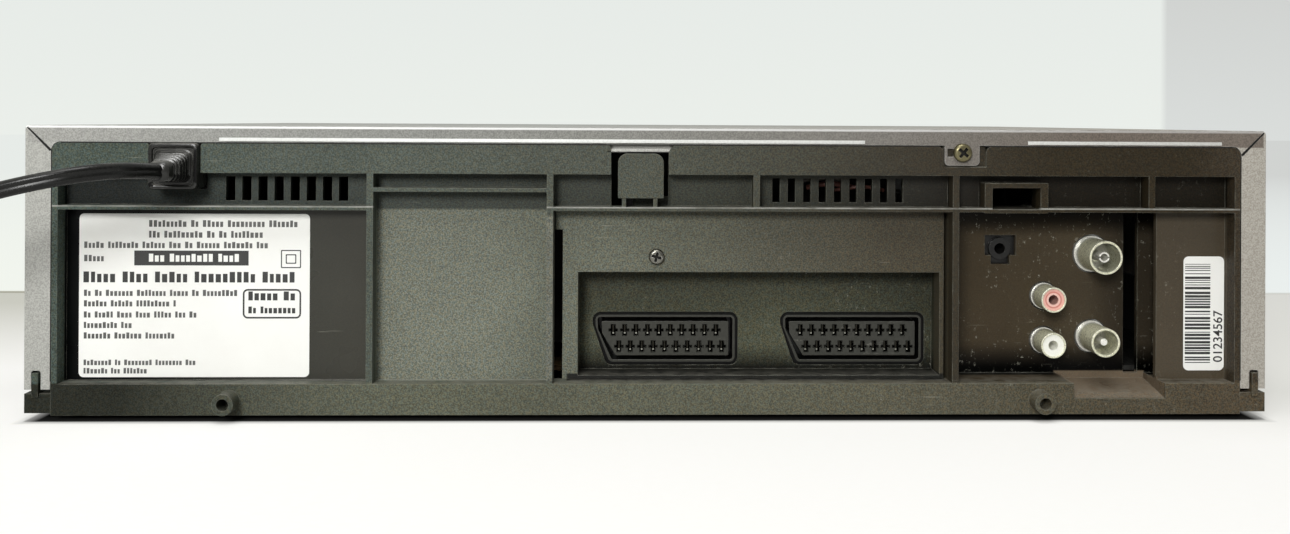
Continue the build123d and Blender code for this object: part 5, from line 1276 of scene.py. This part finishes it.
stage = {
    "table": (0.975, 0.97, 0.94), "tableFarShade": (0.66, 0.66, 0.59), "tableSideShade": (0.81, 0.81, 0.765),
    "weave": (0.6, 0.59, 0.55), "wall": ((0.8, 0.835, 0.805), (0.885, 0.915, 0.855)),
    "panel": ((0.635, 0.65, 0.635), (0.825, 0.865, 0.85)), "panelFrom": -0.465,
    "room": ((0.2, 0.2, 0.195), (0.8, 0.8, 0.79)), "bounce": (0.36, 0.36, 0.36 * 0.98),
    "line": (0.36, 0.35, 0.27), "lineAt": -0.1385, "lineHalf": 0.0052, "eye": (0.008, 0.5133),
    "lit": 0.5, "shown": 0.56, "worldLight": 0.13, "half": 6.0, "z": -0.0002,
}
lamps = [
    {"name": "keyLight", "place": (0.34, 1.27, 0.53), "aim": (0.0, 0.13, 0.05), "size": 0.36, "power": 12.0,
     "colour": (1.0, 1.0, 0.985)},
    {"name": "topLight", "place": (0.1, 0.62, 1.3), "aim": (0.0, 0.05, 0.03), "size": 0.7, "power": 10.2,
     "colour": (1.0, 1.0, 1.0)},
]


def wallTone(g, c, aside, low):
    # aside: how far to one side the wall is seen, low: 1 near its foot
    beside = g.spread(aside, c["panelFrom"] + 0.003, c["panelFrom"] - 0.003)
    return g.blend(beside, g.blend(low, *c["wall"]), g.blend(low, *c["panel"]))


def makeStage(c):
    mesh = bpy.data.meshes.new("table")
    mesh.from_pydata([(x * c["half"], y * c["half"], c["z"]) for x, y in ((-1, -1), (1, -1), (1, 1), (-1, 1))],
                     [], [(0, 1, 2, 3)])
    table = linkObject("table", mesh)
    g = Graph(bpy.data.materials.new("tableTop"), clear=True)
    x, y, z = g.axes()
    # painted shade: the table greys towards the wall on both sides of the case
    far = g.times(g.spread(x, -0.05, 0.05), g.spread(y, 0.06, -0.1))
    tone = g.blend(far, c["table"], c["tableFarShade"])
    tone = g.blend(g.times(g.spread(x, -0.15, -0.2), g.spread(y, 0.17, 0.1)), tone, c["tableSideShade"])
    weave = g.spread(g.noise(1.0, at=g.mapped(Scale=(260, 900, 1))), 0.35, 0.75)
    tone = g.blend(g.times(weave, 0.05), tone, c["weave"])
    ratio = g.math("DIVIDE", g.less(x, c["eye"][0]), g.less(c["eye"][1], y))
    beyond = g.spread(y, c["lineAt"] + 0.002, c["lineAt"] - 0.002)
    tone = g.blend(beyond, tone, wallTone(g, c, ratio, g.spread(y, -1.6, -0.2)))
    line = g.times(g.near(y, c["lineAt"], c["lineHalf"], c["lineHalf"] * 0.3), g.spread(x, -0.05, 0.05, 0.25, 0.85))
    tone = g.blend(line, tone, c["line"])
    # the part of the tone that is shown unlit leaves out the strip under the case, and a painted shadow cuts the lit
    # part there almost to nothing
    clear = g.most(g.near(x, 0.0, 0.196, 0.203), g.spread(y, 0.1391, 0.1428), g.spread(y, -0.143, -0.15))
    under = g.times(g.near(x, 0.0, 0.2005, 0.1995), g.spread(y, 0.14, 0.1388), g.spread(y, -0.143, -0.141))
    share = g.times(g.spread(beyond, 0.0, 1.0, c["lit"], 0.0), g.spread(under, 0.0, 1.0, 1.0, 0.06))
    lit = g.add("BsdfDiffuse", {"Color": g.blend(share, (0.0, 0.0, 0.0), tone)})
    strength = g.times(clear, g.spread(beyond, 0.0, 1.0, c["shown"], 1.0))
    shown = g.add("Emission", {"Color": tone, "Strength": strength})
    both = g.add("AddShader", {0: lit.outputs[0], 1: shown.outputs[0]})
    plain = g.add("BsdfDiffuse", {"Color": c["bounce"]})
    path = g.add("LightPath").outputs
    seen = g.most(path["Is Camera Ray"], path["Is Glossy Ray"], path["Is Transmission Ray"])
    mix = g.add("MixShader", {0: seen, 1: plain.outputs[0], 2: both.outputs[0]})
    g.add("OutputMaterial", {"Surface": mix.outputs[0]})
    mesh.materials.append(g.owner)


def makeWorld(c):
    scene.world = bpy.data.worlds.new("studio")
    g = Graph(scene.world, clear=True, coords="Generated")
    x, y, z = g.axes()
    aside = g.math("DIVIDE", x, g.most(g.times(y, -1.0), 0.05))
    wall = wallTone(g, c, aside, g.spread(z, 0.1, -0.1, 0.0, 0.6))
    # metal and glass mirror the pale wall, and on the camera's own side a dimmer room under a pale ceiling
    room = g.blend(g.spread(z, 0.1, 0.7), *c["room"])
    room = g.blend(g.spread(y, 0.45, 0.05), room, wall)
    path = g.add("LightPath").outputs
    light, mirrored, shown = (
        g.add("Background", {"Color": colour, "Strength": strength}).outputs[0]
        for colour, strength in (((1.0, 1.0, 1.0), c["worldLight"]), (room, 1.0), (wall, 1.0)))
    mix = g.add("MixShader", {0: path["Is Glossy Ray"], 1: light, 2: mirrored})
    clear = g.most(path["Is Camera Ray"], path["Is Transmission Ray"])
    last = g.add("MixShader", {0: clear, 1: mix.outputs[0], 2: shown})
    g.add("OutputWorld", {"Surface": last.outputs[0]})


def addLamp(c):
    data = bpy.data.lights.new(c["name"], "AREA")
    data.shape, data.size, data.energy, data.color = "SQUARE", c["size"], c["power"], c["colour"]
    obj = linkObject(c["name"], data)
    obj.location = c["place"]
    obj.rotation_mode = "QUATERNION"
    obj.rotation_quaternion = (Vector(c["aim"]) - Vector(c["place"])).to_track_quat("-Z", "Y")


makeStage(stage)
makeWorld(stage)
for lamp in lamps:
    addLamp(lamp)
scene.view_settings.view_transform = "Standard"
print("stage and lamps set")
